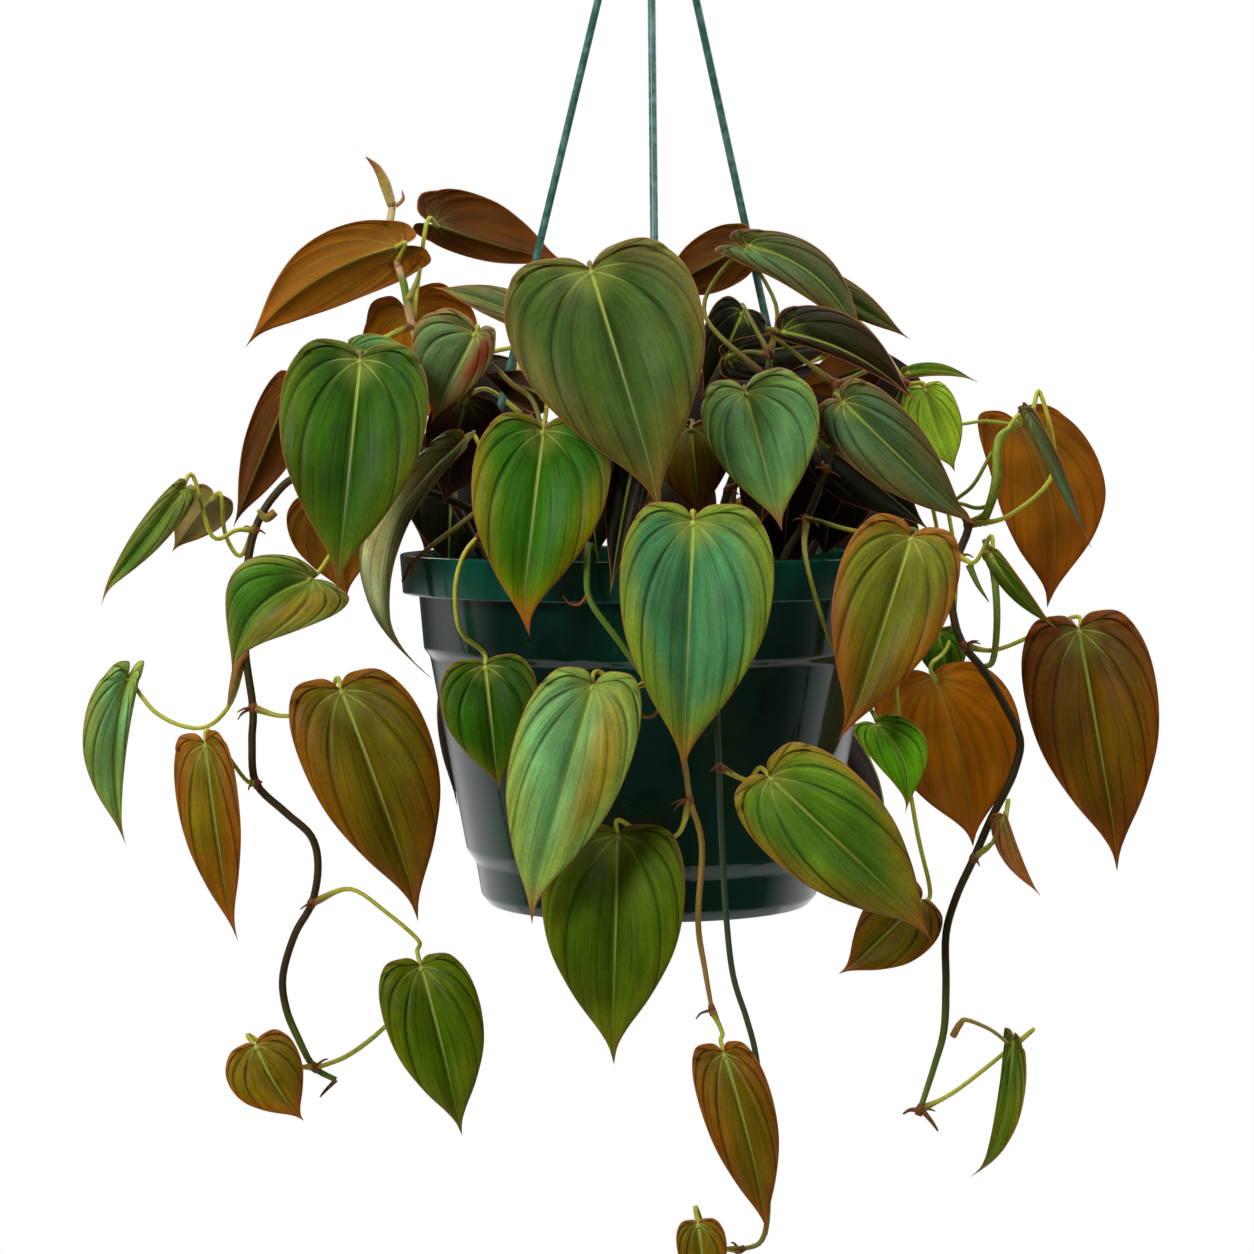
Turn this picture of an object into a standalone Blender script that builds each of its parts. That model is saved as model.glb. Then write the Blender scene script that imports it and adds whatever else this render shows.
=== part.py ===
"""Hanging basket with a trailing, velvet-leaved heart-leaf philodendron.

Metres, +Z up. The origin is the seat of the hook: the point of its inner crown that rests on
whatever carries the basket. The front of the plant faces -Y, and +X is to the viewer's right.

Each leafy stem is one solid: its stem, its leaf stalks and its blades, fused.
Leaves and stems of the front are laid out on a front view, seen from EYE with a slight tilt down: a
grid whose unit is FRONT_UNIT at the pot's axis, with x to the right, y down and its middle at
VIEW_CENTRE. A place on it gets its depth as a third number in millimetres, which is the world y,
less than zero towards the viewer.
"""

import math
import random
from collections import namedtuple

import bmesh
import bpy
from mathutils import Matrix, Vector

MM = 0.001
GAP = 0.0004

# Hanger
RIM_TOP = -0.377
STRAND_RADIUS = 0.0016
STRAND_SIDES = 6
STRAND_TOP_RADIUS = 0.0024
STRAND_TOP = -0.0665
STRAND_BEND = -0.0760
STRAND_ANGLES = {"front": -88.2, "right": 36.0, "left": 150.8}
# A strand's lower end, as (outward from its lug's hole, above the lug's top): down and turned up
STRAND_END = ((0.0, 0.0005), (0.0, -0.0065), (-0.0022, -0.0087), (-0.0052, -0.0083), (-0.0066, -0.0053))
STRAND_ENTRY = (-0.0006, 0.0030)
HOOK_ROD = 0.0020
HOOK_INNER = 0.0140
HOOK_MOUTH = (0.0010, 0.0100)
HOOK_NECK = ((0.0125, -0.0270), (0.0040, -0.0370), (0.0, -0.0460))
COLLAR_TOP = -0.0560
COLLAR_BOTTOM = -0.0740
COLLAR_RADIUS = 0.0064

# Pot
RIM_RADIUS = 0.1015
RIM_BAND = 0.0160
RIM_EASE = 0.0006
WALL = 0.0018
POT_HEIGHT = 0.1430
POT_SIDES = 32
# The wall's section, as (radius, drop below the rim's top), each down from the rim
WALL_OUTSIDE = (
    (0.0950, 0.0024),
    (0.0918, 0.0385),
    (0.0894, 0.0415),
    (0.0746, 0.1200),
    (0.0730, 0.1225),
    (0.0708, 0.1255),
    (0.0685, 0.1390),
    (0.0650, POT_HEIGHT),
    (0.0560, POT_HEIGHT),
    (0.0545, POT_HEIGHT - 0.0020),
    (0.0, POT_HEIGHT - 0.0020),
)
WALL_INSIDE = (
    (0.0930, 0.0),
    (0.0899, 0.0385),
    (0.0875, 0.0415),
    (0.0728, 0.1190),
    (0.0688, 0.1250),
    (0.0640, 0.1388),
    (0.0, 0.1388),
)
LUG_RADIUS = 0.0878
LUG_SIZE = (0.0120, 0.0120, 0.0030)
LUG_DROP = 0.0020
LUG_HOLE = 0.0022

# Soil and the stems that stand in it
SOIL_DROP = 0.0170
SOIL_MOUND = 0.0040
FOOT_DEPTH = 0.0320
FOOT_RISE = 0.0020
HOLE_PLAY = 0.0007
STEM_RADIUS = 0.0020
STEM_SIDES = 5
STALK_RADIUS = 0.0009
STALK_SIDES = 4
STALK_ARRIVAL = 0.009
STALK_SINK = 0.0016
STALK_STEP = 0.0095
GROWING_TIP = 0.005

# Front view
FRONT_UNIT = 0.0004076
VIEW_CENTRE = 627.0
EYE = Vector((-0.0090, -1.5000, -0.3270))
EYE_TILT = math.radians(3.06)

# Leaf blades
BLADE_THICKNESS = 0.0008
BLADE_FOLD = 13.0
BLADE_ARCH = 0.07
LARGE_BLADE = 0.092
SMALL_BLADE = 0.052
VEIN_SLANT = 0.33
EDGE_SKEW = 0.15

# Half of a leaf's outline, from the lobe beside the stalk to the tip: across as a share of the half
# width, and along as a share of the length from the stalk to the tip.
HALF_OUTLINE = (
    (0.30, -0.070),
    (0.68, -0.050),
    (0.94, 0.080),
    (1.00, 0.270),
    (0.88, 0.480),
    (0.56, 0.680),
    (0.20, 0.840),
    (0.06, 0.920),
)

Leaf = namedtuple(
    "Leaf",
    "heart tip left right depth turn at via hook sway arch fold lobe full",
    defaults=(0.0, -1, (), 0.0, 0.0, BLADE_ARCH, BLADE_FOLD, 1.0, 0.0),
)
Stem = namedtuple("Stem", "foot path leaves radius", defaults=(STEM_RADIUS,))

# Heart: where the stalk meets the blade. Left and right: the widest points as seen. Depth: of the
# heart and of the tip. Turn: degrees about the midrib. At: the stem point that the stalk leaves.
# Lobe: how far the lobes reach back past the heart, as a multiple of HALF_OUTLINE's. Full: how much
# wider than HALF_OUTLINE the blade is towards its tip.
STEMS = {
    "vine_left": Stem(
        foot=(-58, -30),
        path=((505, 556, -30), (480, 515, -31), (420, 490, -32), (350, 476, -32), (300, 476, -31),
              (274, 496, -30), (255, 530, -31), (246, 580, -32), (245, 647, -34), (253, 708, -35),
              (252, 742, -35), (256, 783, -35), (285, 812, -36), (311, 836, -36), (318, 866, -36),
              (312, 903, -36), (295, 934, -36), (283, 975, -36), (286, 1008, -36), (298, 1038, -36),
              (314, 1067, -36), (336, 1080, -36)),
        leaves=(
            Leaf((313, 579), (232, 682), (256, 570), (345, 623), (-62, -66), at=3,
                 via=((345, 525, -50),), sway=-0.19, full=-0.8),
            Leaf((183, 490), (101, 608), (153, 507), (179, 529), (-48, -40), at=6, hook=0.06,
                 via=((237, 530, -36), (212, 536, -42)), full=-0.3),
            Leaf((213, 497), (172, 552), (190, 489), (232, 521), (-22, -14), turn=164, at=6, lobe=1.2,
                 via=((240, 556, -30), (225, 533, -26))),
            Leaf((128, 678), (126, 845), (90, 750), (140, 745), (-20, -24), turn=-24, at=8,
                 via=((231, 702, -32), (201, 728, -27), (155, 712, -22)), sway=-0.12, lobe=1.5),
            Leaf((205, 745), (238, 941), (181, 804), (245, 806), (-46, -52), turn=20, at=11,
                 via=((244, 778, -38),), hook=0.02, sway=0.02),
            Leaf((341, 691), (418, 922), (284, 726), (440, 770), (-55, -58), at=9,
                 via=((285, 716, -38), (325, 706, -42)), hook=-0.02, sway=0.01),
            Leaf((421, 967), (462, 1136), (374, 991), (482, 1013), (-52, -52), at=15,
                 via=((350, 889, -40), (387, 913, -44), (418, 940, -46)), sway=0.01),
            Leaf((256, 1046), (304, 1121), (232, 1086), (320, 1076), (-52, -56), at=20,
                 via=((290, 1064, -42),), sway=-0.05, lobe=1.2),
        ),
    ),
    "vine_right": Stem(
        foot=(58, -14),
        path=((797, 556, -16), (822, 516, -20), (865, 497, -25), (914, 492, -28), (951, 504, -31),
              (968, 525, -35), (958, 556, -42), (951, 590, -48), (955, 623, -52), (964, 646, -54),
              (984, 671, -55), (1004, 704, -55), (1020, 739, -55), (1015, 769, -55), (1004, 794, -55),
              (990, 821, -55), (974, 858, -55), (957, 895, -55), (946, 934, -55), (946, 984, -55),
              (944, 1030, -55), (934, 1067, -55), (920, 1110, -55)),
        leaves=(
            Leaf((1018, 422), (1047, 608), (976, 471), (1078, 462), (-22, 6), turn=180, at=5,
                 via=((990, 505, -38), (999, 450, -34)), sway=0.10, fold=8, full=0.9),
            Leaf((1030, 412), (1091, 548), (1056, 470), (1073, 462), (-44, -50), turn=70, at=5,
                 via=((1010, 515, -44), (1054, 470, -44)), arch=0.03, sway=0.12),
            Leaf((991, 554), (1058, 630), (1010, 589), (1026, 574), (-62, -66), turn=40, at=6,
                 via=((975, 562, -54),)),
            Leaf((1079, 630), (1117, 872), (1022, 697), (1159, 701), (-40, -46), at=9,
                 via=((995, 650, -48), (1036, 634, -40)), hook=-0.02),
            Leaf((1004, 817), (1040, 896), (998, 838), (1020, 840), (-62, -64), turn=40, at=16,
                 via=((1000, 834, -60),)),
            Leaf((1014, 1042), (970, 1177), (990, 1085), (1020, 1092), (-50, -46), turn=45, at=22,
                 via=((960, 1088, -52),), hook=-0.06, sway=0.18),
        ),
    ),
    "vine_front": Stem(
        foot=(-22, -68),
        path=((595, 557, -80), (591, 546, -92), (588, 548, -103), (587, 566, -110), (590, 600, -110),
              (618, 640, -108), (648, 682, -106), (671, 715, -105), (684, 760, -104), (690, 800, -104),
              (702, 845, -103), (698, 920, -102), (705, 970, -101), (712, 1010, -100)),
        leaves=(
            Leaf((593, 686), (532, 925), (503, 790), (646, 718), (-118, -120), at=6,
                 via=((628, 688, -106),), hook=0.04),
            Leaf((618, 835), (614, 1065), (541, 889), (687, 879), (-96, -100), at=9,
                 via=((678, 834, -100), (650, 838, -92)), hook=0.01, lobe=0.7),
            Leaf((724, 1054), (768, 1236), (692, 1090), (778, 1130), (-108, -110), at=13,
                 via=((722, 1032, -100),), sway=0.02),
        ),
        radius=0.0015,
    ),
    "vine_middle": Stem(
        foot=(30, -68),
        path=((720, 557, -80), (724, 546, -92), (727, 548, -103), (726, 566, -110), (722, 600, -110),
              (718, 660, -108), (717, 716, -107), (719, 767, -106), (720, 804, -105), (722, 847, -104),
              (726, 914, -103), (733, 975, -102), (747, 1020, -101), (756, 1056, -100),
              (764, 1120, -98), (768, 1200, -98), (762, 1240, -98), (740, 1250, -98)),
        leaves=(
            Leaf((770, 778), (932, 943), (751, 842), (852, 771), (-112, -112), at=7,
                 via=((747, 780, -104),), hook=-0.04),
            Leaf((693, 522), (683, 775), (618, 590), (775, 590), (-113, -128), at=3,
                 via=((706, 540, -104),)),
            Leaf((698, 1224), (708, 1302), (676, 1246), (728, 1248), (-108, -110), at=17,
                 via=((712, 1244, -100),)),
        ),
        radius=0.0015,
    ),
    "stem_front_left": Stem(
        foot=(-44, -58),
        path=((541, 556, -60), (538, 520, -63), (536, 480, -66), (536, 452, -70)),
        leaves=(
            Leaf((543, 431), (530, 638), (473, 483), (614, 483), (-96, -116), at=3, hook=0.05),
            Leaf((485, 666), (499, 792), (442, 725), (540, 700), (-92, -96), at=1,
                 via=((480, 536, -88), (457, 575, -98), (459, 628, -98))),
            Leaf((458, 446), (432, 679), (422, 545), (466, 545), (-52, -56), turn=50, at=2,
                 via=((490, 470, -62),), sway=-0.24, hook=0.16),
            Leaf((545, 396), (480, 372), (520, 368), (520, 410), (-44, -30), turn=172, at=2),
        ),
    ),
    "stem_crown": Stem(
        foot=(-12, -42),
        path=((622, 556, -44), (620, 500, -44), (612, 440, -43), (602, 380, -42), (594, 325, -46)),
        leaves=(
            Leaf((591, 271), (659, 514), (495, 302), (705, 316), (-78, -110), at=4, hook=-0.02),
            Leaf((640, 434), (610, 596), (608, 490), (656, 480), (-90, -112), at=2, turn=10),
            Leaf((691, 428), (700, 520), (650, 460), (735, 465), (-50, -62), at=1,
                 via=((660, 440, -44),)),
            Leaf((588, 484), (598, 560), (566, 506), (620, 512), (-30, -36), at=1),
        ),
    ),
    "stem_crown_right": Stem(
        foot=(24, -30),
        path=((712, 556, -30), (728, 490, -28), (752, 430, -22), (767, 378, -18), (770, 355, -15)),
        leaves=(
            Leaf((746, 393), (782, 532), (695, 402), (824, 424), (-62, -86), at=2, lobe=1.6),
            Leaf((748, 246), (867, 359), (755, 290), (791, 252), (-4, -26), turn=-8, at=4,
                 via=((776, 305, -2),), sway=0.13, lobe=1.8),
            Leaf((745, 246), (652, 296), (709, 231), (720, 296), (14, 8), turn=172, at=3,
                 via=((706, 318, 0), (722, 270, 4)), lobe=1.6),
            Leaf((728, 356), (848, 345), (760, 385), (760, 338), (14, 8), turn=-20, at=4,
                 via=((745, 352, -2),)),
            Leaf((770, 470), (760, 528), (738, 485), (782, 480), (-48, -56), at=1),
            Leaf((742, 312), (700, 400), (702, 322), (756, 356), (26, 14), turn=-10, at=4,
                 via=((752, 322, 4),)),
            Leaf((792, 450), (782, 576), (736, 500), (846, 496), (-14, -18), at=1),
        ),
    ),
    "stem_right": Stem(
        foot=(52, -42),
        path=((785, 556, -44), (806, 520, -45), (826, 470, -42), (838, 425, -38), (836, 385, -30)),
        leaves=(
            Leaf((843, 402), (980, 527), (830, 445), (925, 425), (-62, -74), at=3, hook=0.03),
            Leaf((782, 332), (918, 404), (826, 368), (842, 326), (-30, -40), turn=-20, at=4, sway=0.06),
            Leaf((870, 366), (792, 392), (830, 352), (838, 402), (-4, 8), turn=175, at=4),
            Leaf((911, 538), (837, 742), (825, 596), (960, 580), (-92, -112), at=1,
                 via=((815, 520, -58), (862, 532, -76)), hook=-0.04),
            Leaf((876, 724), (905, 814), (853, 753), (911, 728), (-92, -96), at=1,
                 via=((806, 560, -104), (830, 640, -104), (862, 700, -98)), sway=0.16, full=-0.4),
            Leaf((815, 436), (930, 531), (830, 500), (880, 440), (-30, -44), at=2, turn=-10),
            Leaf((834, 476), (824, 560), (800, 508), (874, 504), (-8, -14), at=2,
                 via=((850, 474, -28),)),
        ),
    ),
    "stem_far_right": Stem(
        foot=(66, 16),
        path=((810, 556, 16), (840, 500, 12), (872, 450, 4), (895, 410, -4), (905, 385, -8)),
        leaves=(
            Leaf((925, 389), (955, 472), (901, 408), (966, 428), (-12, -8), at=4, full=0.3),
            Leaf((906, 374), (978, 382), (938, 385), (938, 371), (-2, 4), turn=-50, at=4, sway=0.06),
            Leaf((812, 280), (911, 340), (846, 318), (866, 292), (22, 14), turn=-10, at=4,
                 via=((868, 330, 14),)),
            Leaf((934, 678), (973, 847), (869, 719), (1017, 736), (-20, -26), turn=180, at=2,
                 via=((935, 480, 10), (955, 560, 4), (950, 640, -6)), sway=0.05, full=0.25),
            Leaf((938, 632), (952, 690), (918, 650), (968, 650), (-4, -4), at=2,
                 via=((925, 490, 14), (940, 560, 14))),
            Leaf((921, 900), (838, 974), (886, 880), (914, 962), (-48, -52), at=2,
                 via=((905, 540, 0), (896, 680, -24), (915, 820, -38)), hook=-0.04),
        ),
    ),
    "stem_upper_left": Stem(
        foot=(-54, 14),
        path=((520, 556, 14), (496, 490, 10), (462, 425, 4), (430, 370, 0), (412, 325, -2),
              (404, 285, -2), (397, 262, -2), (389, 232, -2), (392, 203, -2), (381, 178, -3)),
        leaves=(
            Leaf((400, 246), (245, 348), (337, 241), (380, 306), (-8, -20), turn=176, at=6,
                 sway=-0.09, lobe=1.6),
            Leaf((434, 225), (570, 264), (474, 257), (474, 190), (16, 38), turn=172, at=4, lobe=2.0,
                 via=((419, 275, 4),), full=0.3),
            Leaf((407, 312), (440, 430), (362, 342), (478, 312), (12, 20), turn=176, at=4, lobe=2.4),
            Leaf((540, 326), (432, 287), (490, 288), (478, 320), (-24, -14), turn=30, at=3,
                 via=((500, 350, -16),)),
            Leaf((475, 334), (431, 424), (402, 352), (492, 360), (-42, -56), at=2,
                 via=((474, 380, -14),), lobe=1.8),
            Leaf((352, 352), (420, 356), (384, 338), (384, 366), (-26, -22), turn=-30, at=4),
        ),
    ),
    "stem_left": Stem(
        foot=(-66, -8),
        path=((482, 556, -10), (455, 505, -12), (424, 455, -14), (396, 410, -18), (380, 382, -24)),
        leaves=(
            Leaf((360, 360), (337, 591), (277, 420), (430, 405), (-66, -88), at=4),
            Leaf((292, 384), (233, 528), (240, 444), (300, 454), (-12, -18), turn=178, at=3),
            Leaf((330, 500), (347, 600), (288, 540), (386, 530), (-10, 0), turn=180, at=2,
                 via=((380, 462, -8),)),
            Leaf((466, 400), (444, 506), (424, 444), (506, 440), (-34, -44), turn=170, at=2),
            Leaf((452, 464), (448, 574), (402, 508), (504, 510), (30, 26), at=1),
        ),
    ),
}

# Back of the plant, about the pot's axis: the stem's bearing in degrees and its foot's distance from
# the axis. Swing: the leaf's bearing from its stem's. Joint: the stem point that its stalk leaves.
# Reach and rise: from there to the heart. Pitch: of the blade, in degrees above level.
BackLeaf = namedtuple("BackLeaf", "swing joint reach rise pitch length")
BackStem = namedtuple("BackStem", "bearing foot joints leaves trail", defaults=(0,))
CROWN_JOINTS = ((0.004, 0.018), (0.008, 0.036), (0.013, 0.054), (0.019, 0.072))
BACK_STEMS = {
    "stem_back_right": BackStem(52.0, 0.052, CROWN_JOINTS, (
        BackLeaf(-26, 0, 0.056, 0.012, -60, 0.064),
        BackLeaf(4, 0, 0.062, 0.008, -56, 0.068),
        BackLeaf(-12, 3, 0.040, 0.010, -34, 0.080),
        BackLeaf(16, 2, 0.044, 0.016, -36, 0.080),
    )),
    "stem_back": BackStem(88.0, 0.050, CROWN_JOINTS, (
        BackLeaf(0, 0, 0.066, 0.010, -60, 0.078),
        BackLeaf(-10, 2, 0.046, 0.014, -38, 0.086),
        BackLeaf(34, 3, 0.036, 0.022, -26, 0.080),
        BackLeaf(172, 3, 0.024, 0.010, -16, 0.074),
    )),
    "stem_back_left": BackStem(138.0, 0.054, CROWN_JOINTS, (
        BackLeaf(-32, 0, 0.058, 0.008, -58, 0.070),
        BackLeaf(-14, 1, 0.050, 0.012, -52, 0.070),
        BackLeaf(4, 2, 0.044, 0.014, -36, 0.082),
        BackLeaf(-46, 3, 0.030, 0.006, -30, 0.078),
    )),
    "vine_back_right": BackStem(66.0, 0.074, (), (), trail=2),
    "vine_back_left": BackStem(110.0, 0.074, (), (), trail=2),
}
TRAIL_OVER_RIM = ((0.006, -0.004), (0.012, 0.008), (0.024, 0.016), (0.038, 0.010), (0.044, -0.008))
TRAIL_STEP = (0.003, -0.042)
TRAIL_SWAY = 0.006
TRAIL_SWING = 62.0
TRAIL_STALK = (0.026, 0.012)
TRAIL_PITCH = (-82.0, -72.0)
TRAIL_LENGTH = (0.066, 0.080)
BACK_WIDTH = 0.68
BACK_ARCH = 0.08
BACK_ROLL = 10.0
BACK_STALK_LIFT = 0.006
BACK_SEED = 7


def clear_scene():
    for old in list(bpy.data.objects):
        bpy.data.objects.remove(old, do_unlink=True)


def material(name, colour, roughness):
    made = bpy.data.materials.new(name)
    made.use_nodes = True
    shader = made.node_tree.nodes["Principled BSDF"]
    shader.inputs["Base Color"].default_value = (*colour, 1.0)
    shader.inputs["Roughness"].default_value = roughness
    shader.inputs["Metallic"].default_value = 0.0
    made.diffuse_color = (*colour, 1.0)
    return made


def new_object(name, shape, look=None):
    """Makes an object from a bmesh, and links it to the scene."""
    bmesh.ops.recalc_face_normals(shape, faces=shape.faces)
    mesh = bpy.data.meshes.new(name)
    shape.to_mesh(mesh)
    shape.free()
    made = bpy.data.objects.new(name, mesh)
    bpy.context.scene.collection.objects.link(made)
    if look:
        mesh.materials.append(look)
    return made


def apply_boolean(target, operation, cutters, solver="EXACT"):
    """Joins or cuts target with a collection of closed solids, which are then removed."""
    group = bpy.data.collections.new(target.name + "_tools")
    bpy.context.scene.collection.children.link(group)
    for cutter in cutters:
        bpy.context.scene.collection.objects.unlink(cutter)
        group.objects.link(cutter)
    step = target.modifiers.new(operation.lower(), "BOOLEAN")
    step.operation = operation
    step.operand_type = "COLLECTION"
    step.collection = group
    step.solver = solver
    bpy.context.view_layer.objects.active = target
    bpy.ops.object.modifier_apply(modifier=step.name)
    for cutter in cutters:
        bpy.data.objects.remove(cutter, do_unlink=True)
    bpy.data.collections.remove(group)
    return target


def smooth(made, degrees=35.0):
    made.data.shade_smooth()
    made.data.set_sharp_from_angle(angle=math.radians(degrees))


def turned(profile, sides):
    """A closed ring of (radius, z) points turned about the Z axis; radius 0 closes on the axis."""
    shape = bmesh.new()
    rings = []
    for radius, z in profile:
        if radius == 0.0:
            rings.append([shape.verts.new((0.0, 0.0, z))])
            continue
        ring = []
        for step in range(sides):
            angle = 2.0 * math.pi * step / sides
            ring.append(shape.verts.new((radius * math.cos(angle), radius * math.sin(angle), z)))
        rings.append(ring)
    pairs = zip(rings, rings[1:] + ([] if profile[0][0] == 0.0 else rings[:1]))
    for low, high in pairs:
        bridge(shape, low, high, sides)
    return shape


def bridge(shape, low, high, sides):
    for step in range(sides):
        after = (step + 1) % sides
        if len(low) == 1:
            shape.faces.new((low[0], high[step], high[after]))
        elif len(high) == 1:
            shape.faces.new((low[step], low[after], high[0]))
        else:
            shape.faces.new((low[step], low[after], high[after], high[step]))


def catmull_rom(points, per_span):
    """A smooth run through the points, with per_span steps between each two."""
    ends = [points[0] * 2 - points[1], *points, points[-1] * 2 - points[-2]]
    run = []
    for before, start, end, after in zip(ends, ends[1:], ends[2:], ends[3:]):
        for step in range(per_span):
            t = step / per_span
            run.append(0.5 * (
                start * 2
                + (end - before) * t
                + (before * 2 - start * 5 + end * 4 - after) * t * t
                + (start * 3 - before - end * 3 + after) * t * t * t
            ))
    run.append(points[-1])
    return run


def tube(name, points, radii, sides):
    """A closed tube along points; the last ring is drawn to its own radius, and both ends are capped."""
    shape = bmesh.new()
    rings = []
    side = None
    for index, point in enumerate(points):
        ahead = points[min(index + 1, len(points) - 1)]
        behind = points[max(index - 1, 0)]
        along = (ahead - behind).normalized()
        if side is None:
            side = along.orthogonal().normalized()
        side = (side - along * side.dot(along)).normalized()
        across = along.cross(side)
        ring = []
        for step in range(sides):
            angle = 2.0 * math.pi * step / sides
            reach = side * math.cos(angle) + across * math.sin(angle)
            ring.append(shape.verts.new(point + reach * radii[index]))
        rings.append(ring)
    for low, high in zip(rings, rings[1:]):
        bridge(shape, low, high, sides)
    shape.faces.new(rings[0])
    shape.faces.new(rings[-1])
    return new_object(name, shape)


def even_tube(name, points, radius, sides):
    return tube(name, points, [radius] * len(points), sides)


def box_at(name, size, place, angle=0.0):
    """A box centred on place and turned about Z."""
    shape = bmesh.new()
    bmesh.ops.create_cube(shape, size=1.0)
    move = Matrix.Translation(place) @ Matrix.Rotation(angle, 4, "Z") @ Matrix.Diagonal((*size, 1.0))
    bmesh.ops.transform(shape, matrix=move, verts=shape.verts)
    return new_object(name, shape)


def post(name, place, radius, bottom, top, sides):
    """An upright prism used as a cutter for a round hole."""
    points = [Vector((place[0], place[1], bottom)), Vector((place[0], place[1], top))]
    return even_tube(name, points, radius, sides)


def at_angle(radius, degrees, z):
    angle = math.radians(degrees)
    return Vector((radius * math.cos(angle), radius * math.sin(angle), z))


def pot_profile():
    """The pot's section: up its outside, round the hanging skirt of the rim, and down its inside."""
    skirt = [
        (RIM_RADIUS - RIM_EASE - WALL, WALL + RIM_EASE),
        (RIM_RADIUS - 2 * RIM_EASE - WALL, RIM_BAND),
        (RIM_RADIUS - 2 * RIM_EASE, RIM_BAND),
        (RIM_RADIUS, RIM_EASE),
        (RIM_RADIUS - RIM_EASE, 0.0),
    ]
    section = [*reversed(WALL_OUTSIDE), *skirt, *WALL_INSIDE]
    return [(radius, RIM_TOP - drop) for radius, drop in section]


def make_pot(look):
    pot = new_object("pot", turned(pot_profile(), POT_SIDES), look)
    lugs = []
    holes = []
    for degrees in STRAND_ANGLES.values():
        angle = math.radians(degrees)
        centre = at_angle(LUG_RADIUS, degrees, RIM_TOP - LUG_DROP - LUG_SIZE[2] / 2)
        lugs.append(box_at("lug", LUG_SIZE, centre, angle))
        holes.append(post("lug_hole", centre, LUG_HOLE, RIM_TOP - 0.02, RIM_TOP + 0.01, 12))
    apply_boolean(pot, "UNION", lugs)
    apply_boolean(pot, "DIFFERENCE", holes)
    smooth(pot)
    return pot


def make_soil(look, feet):
    """Fills the pot to below its rim, and has a plain hole for each stem."""
    top = RIM_TOP - SOIL_DROP
    wall = [(radius - GAP, RIM_TOP - drop) for radius, drop in WALL_INSIDE[1:-2]]
    high_radius, low_radius = WALL_INSIDE[0][0], WALL_INSIDE[1][0]
    edge = high_radius + (low_radius - high_radius) * SOIL_DROP / WALL_INSIDE[1][1] - GAP
    floor_radius, floor_drop = WALL_INSIDE[-2]
    floor = RIM_TOP - floor_drop + GAP
    profile = [(0.0, floor), (floor_radius - GAP, floor), *reversed(wall), (edge, top)]
    profile += [(edge * 0.55, top + SOIL_MOUND * 0.7), (0.0, top + SOIL_MOUND)]
    soil = new_object("potting_soil", turned(profile, POT_SIDES), look)
    cutters = []
    for place, radius in feet:
        bottom = RIM_TOP - FOOT_DEPTH - GAP
        cutters.append(post("stem_hole", place, radius + HOLE_PLAY, bottom, RIM_TOP, 8))
    apply_boolean(soil, "DIFFERENCE", cutters)
    smooth(soil)
    return soil


def hook_route():
    """The hook's centre line: open at the left, over its crown, and back to the middle."""
    bend = HOOK_INNER + HOOK_ROD
    centre = -HOOK_INNER
    route = [Vector((-bend - HOOK_MOUTH[0], 0.0, centre - HOOK_MOUTH[1]))]
    for degrees in range(180, -1, -30):
        angle = math.radians(degrees)
        route.append(Vector((bend * math.cos(angle), 0.0, centre + bend * math.sin(angle))))
    route += [Vector((x, 0.0, z)) for x, z in HOOK_NECK]
    route.append(Vector((0.0, 0.0, (COLLAR_TOP + COLLAR_BOTTOM) / 2)))
    return catmull_rom(route, 2)


def make_hook(look):
    """The hook and the collar that gathers the strands, moulded as one piece."""
    route = hook_route()
    hook = even_tube("hanger_hook", route, HOOK_ROD, 8)
    hook.data.materials.append(look)
    collar_profile = [
        (0.0, COLLAR_BOTTOM),
        (COLLAR_RADIUS - 0.0004, COLLAR_BOTTOM),
        (COLLAR_RADIUS, COLLAR_BOTTOM + 0.0006),
        (COLLAR_RADIUS * 0.8, COLLAR_TOP - 0.0030),
        (COLLAR_RADIUS * 0.55, COLLAR_TOP),
        (0.0, COLLAR_TOP),
    ]
    collar = new_object("collar", turned(collar_profile, 20))
    sockets = []
    for degrees in STRAND_ANGLES.values():
        place = at_angle(STRAND_TOP_RADIUS, degrees, 0.0)
        sockets.append(post("socket", place, STRAND_RADIUS + GAP, COLLAR_BOTTOM - 0.01,
                            STRAND_TOP + GAP, 10))
    apply_boolean(hook, "UNION", [collar])
    apply_boolean(hook, "DIFFERENCE", sockets)
    smooth(hook)
    return hook


def strand_route(degrees):
    """Out of the collar, straight to the lug, down through it, and turned up under it."""
    lug = RIM_TOP - LUG_DROP
    top = at_angle(STRAND_TOP_RADIUS, degrees, STRAND_TOP)
    bend = at_angle(STRAND_TOP_RADIUS, degrees, STRAND_BEND)
    above, *end = [at_angle(LUG_RADIUS + out, degrees, lug + up) for out, up in (STRAND_ENTRY, *STRAND_END)]
    straight = [bend.lerp(above, share) for share in (0.01, 0.03, 0.5, 0.97)]
    return [top, bend, *straight, above, *end]


def make_strands(look):
    strands = []
    for side, degrees in STRAND_ANGLES.items():
        strand = even_tube("hanger_strand_" + side, strand_route(degrees), STRAND_RADIUS, STRAND_SIDES)
        strand.data.materials.append(look)
        smooth(strand, 50.0)
        strands.append(strand)
    return strands


def seen(place):
    """World place of a front-view point (column, row, depth in millimetres)."""
    column, row, depth = place
    right = (column - VIEW_CENTRE) * FRONT_UNIT
    up = (VIEW_CENTRE - row) * FRONT_UNIT
    ray = Matrix.Rotation(-EYE_TILT, 3, "X") @ Vector((right, -EYE.y, up))
    return EYE + ray * ((depth * MM - EYE.y) / ray.y)


Frame = namedtuple(
    "Frame", "heart length along across normal left right skew hook sway arch fold lobe full"
)


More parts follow.
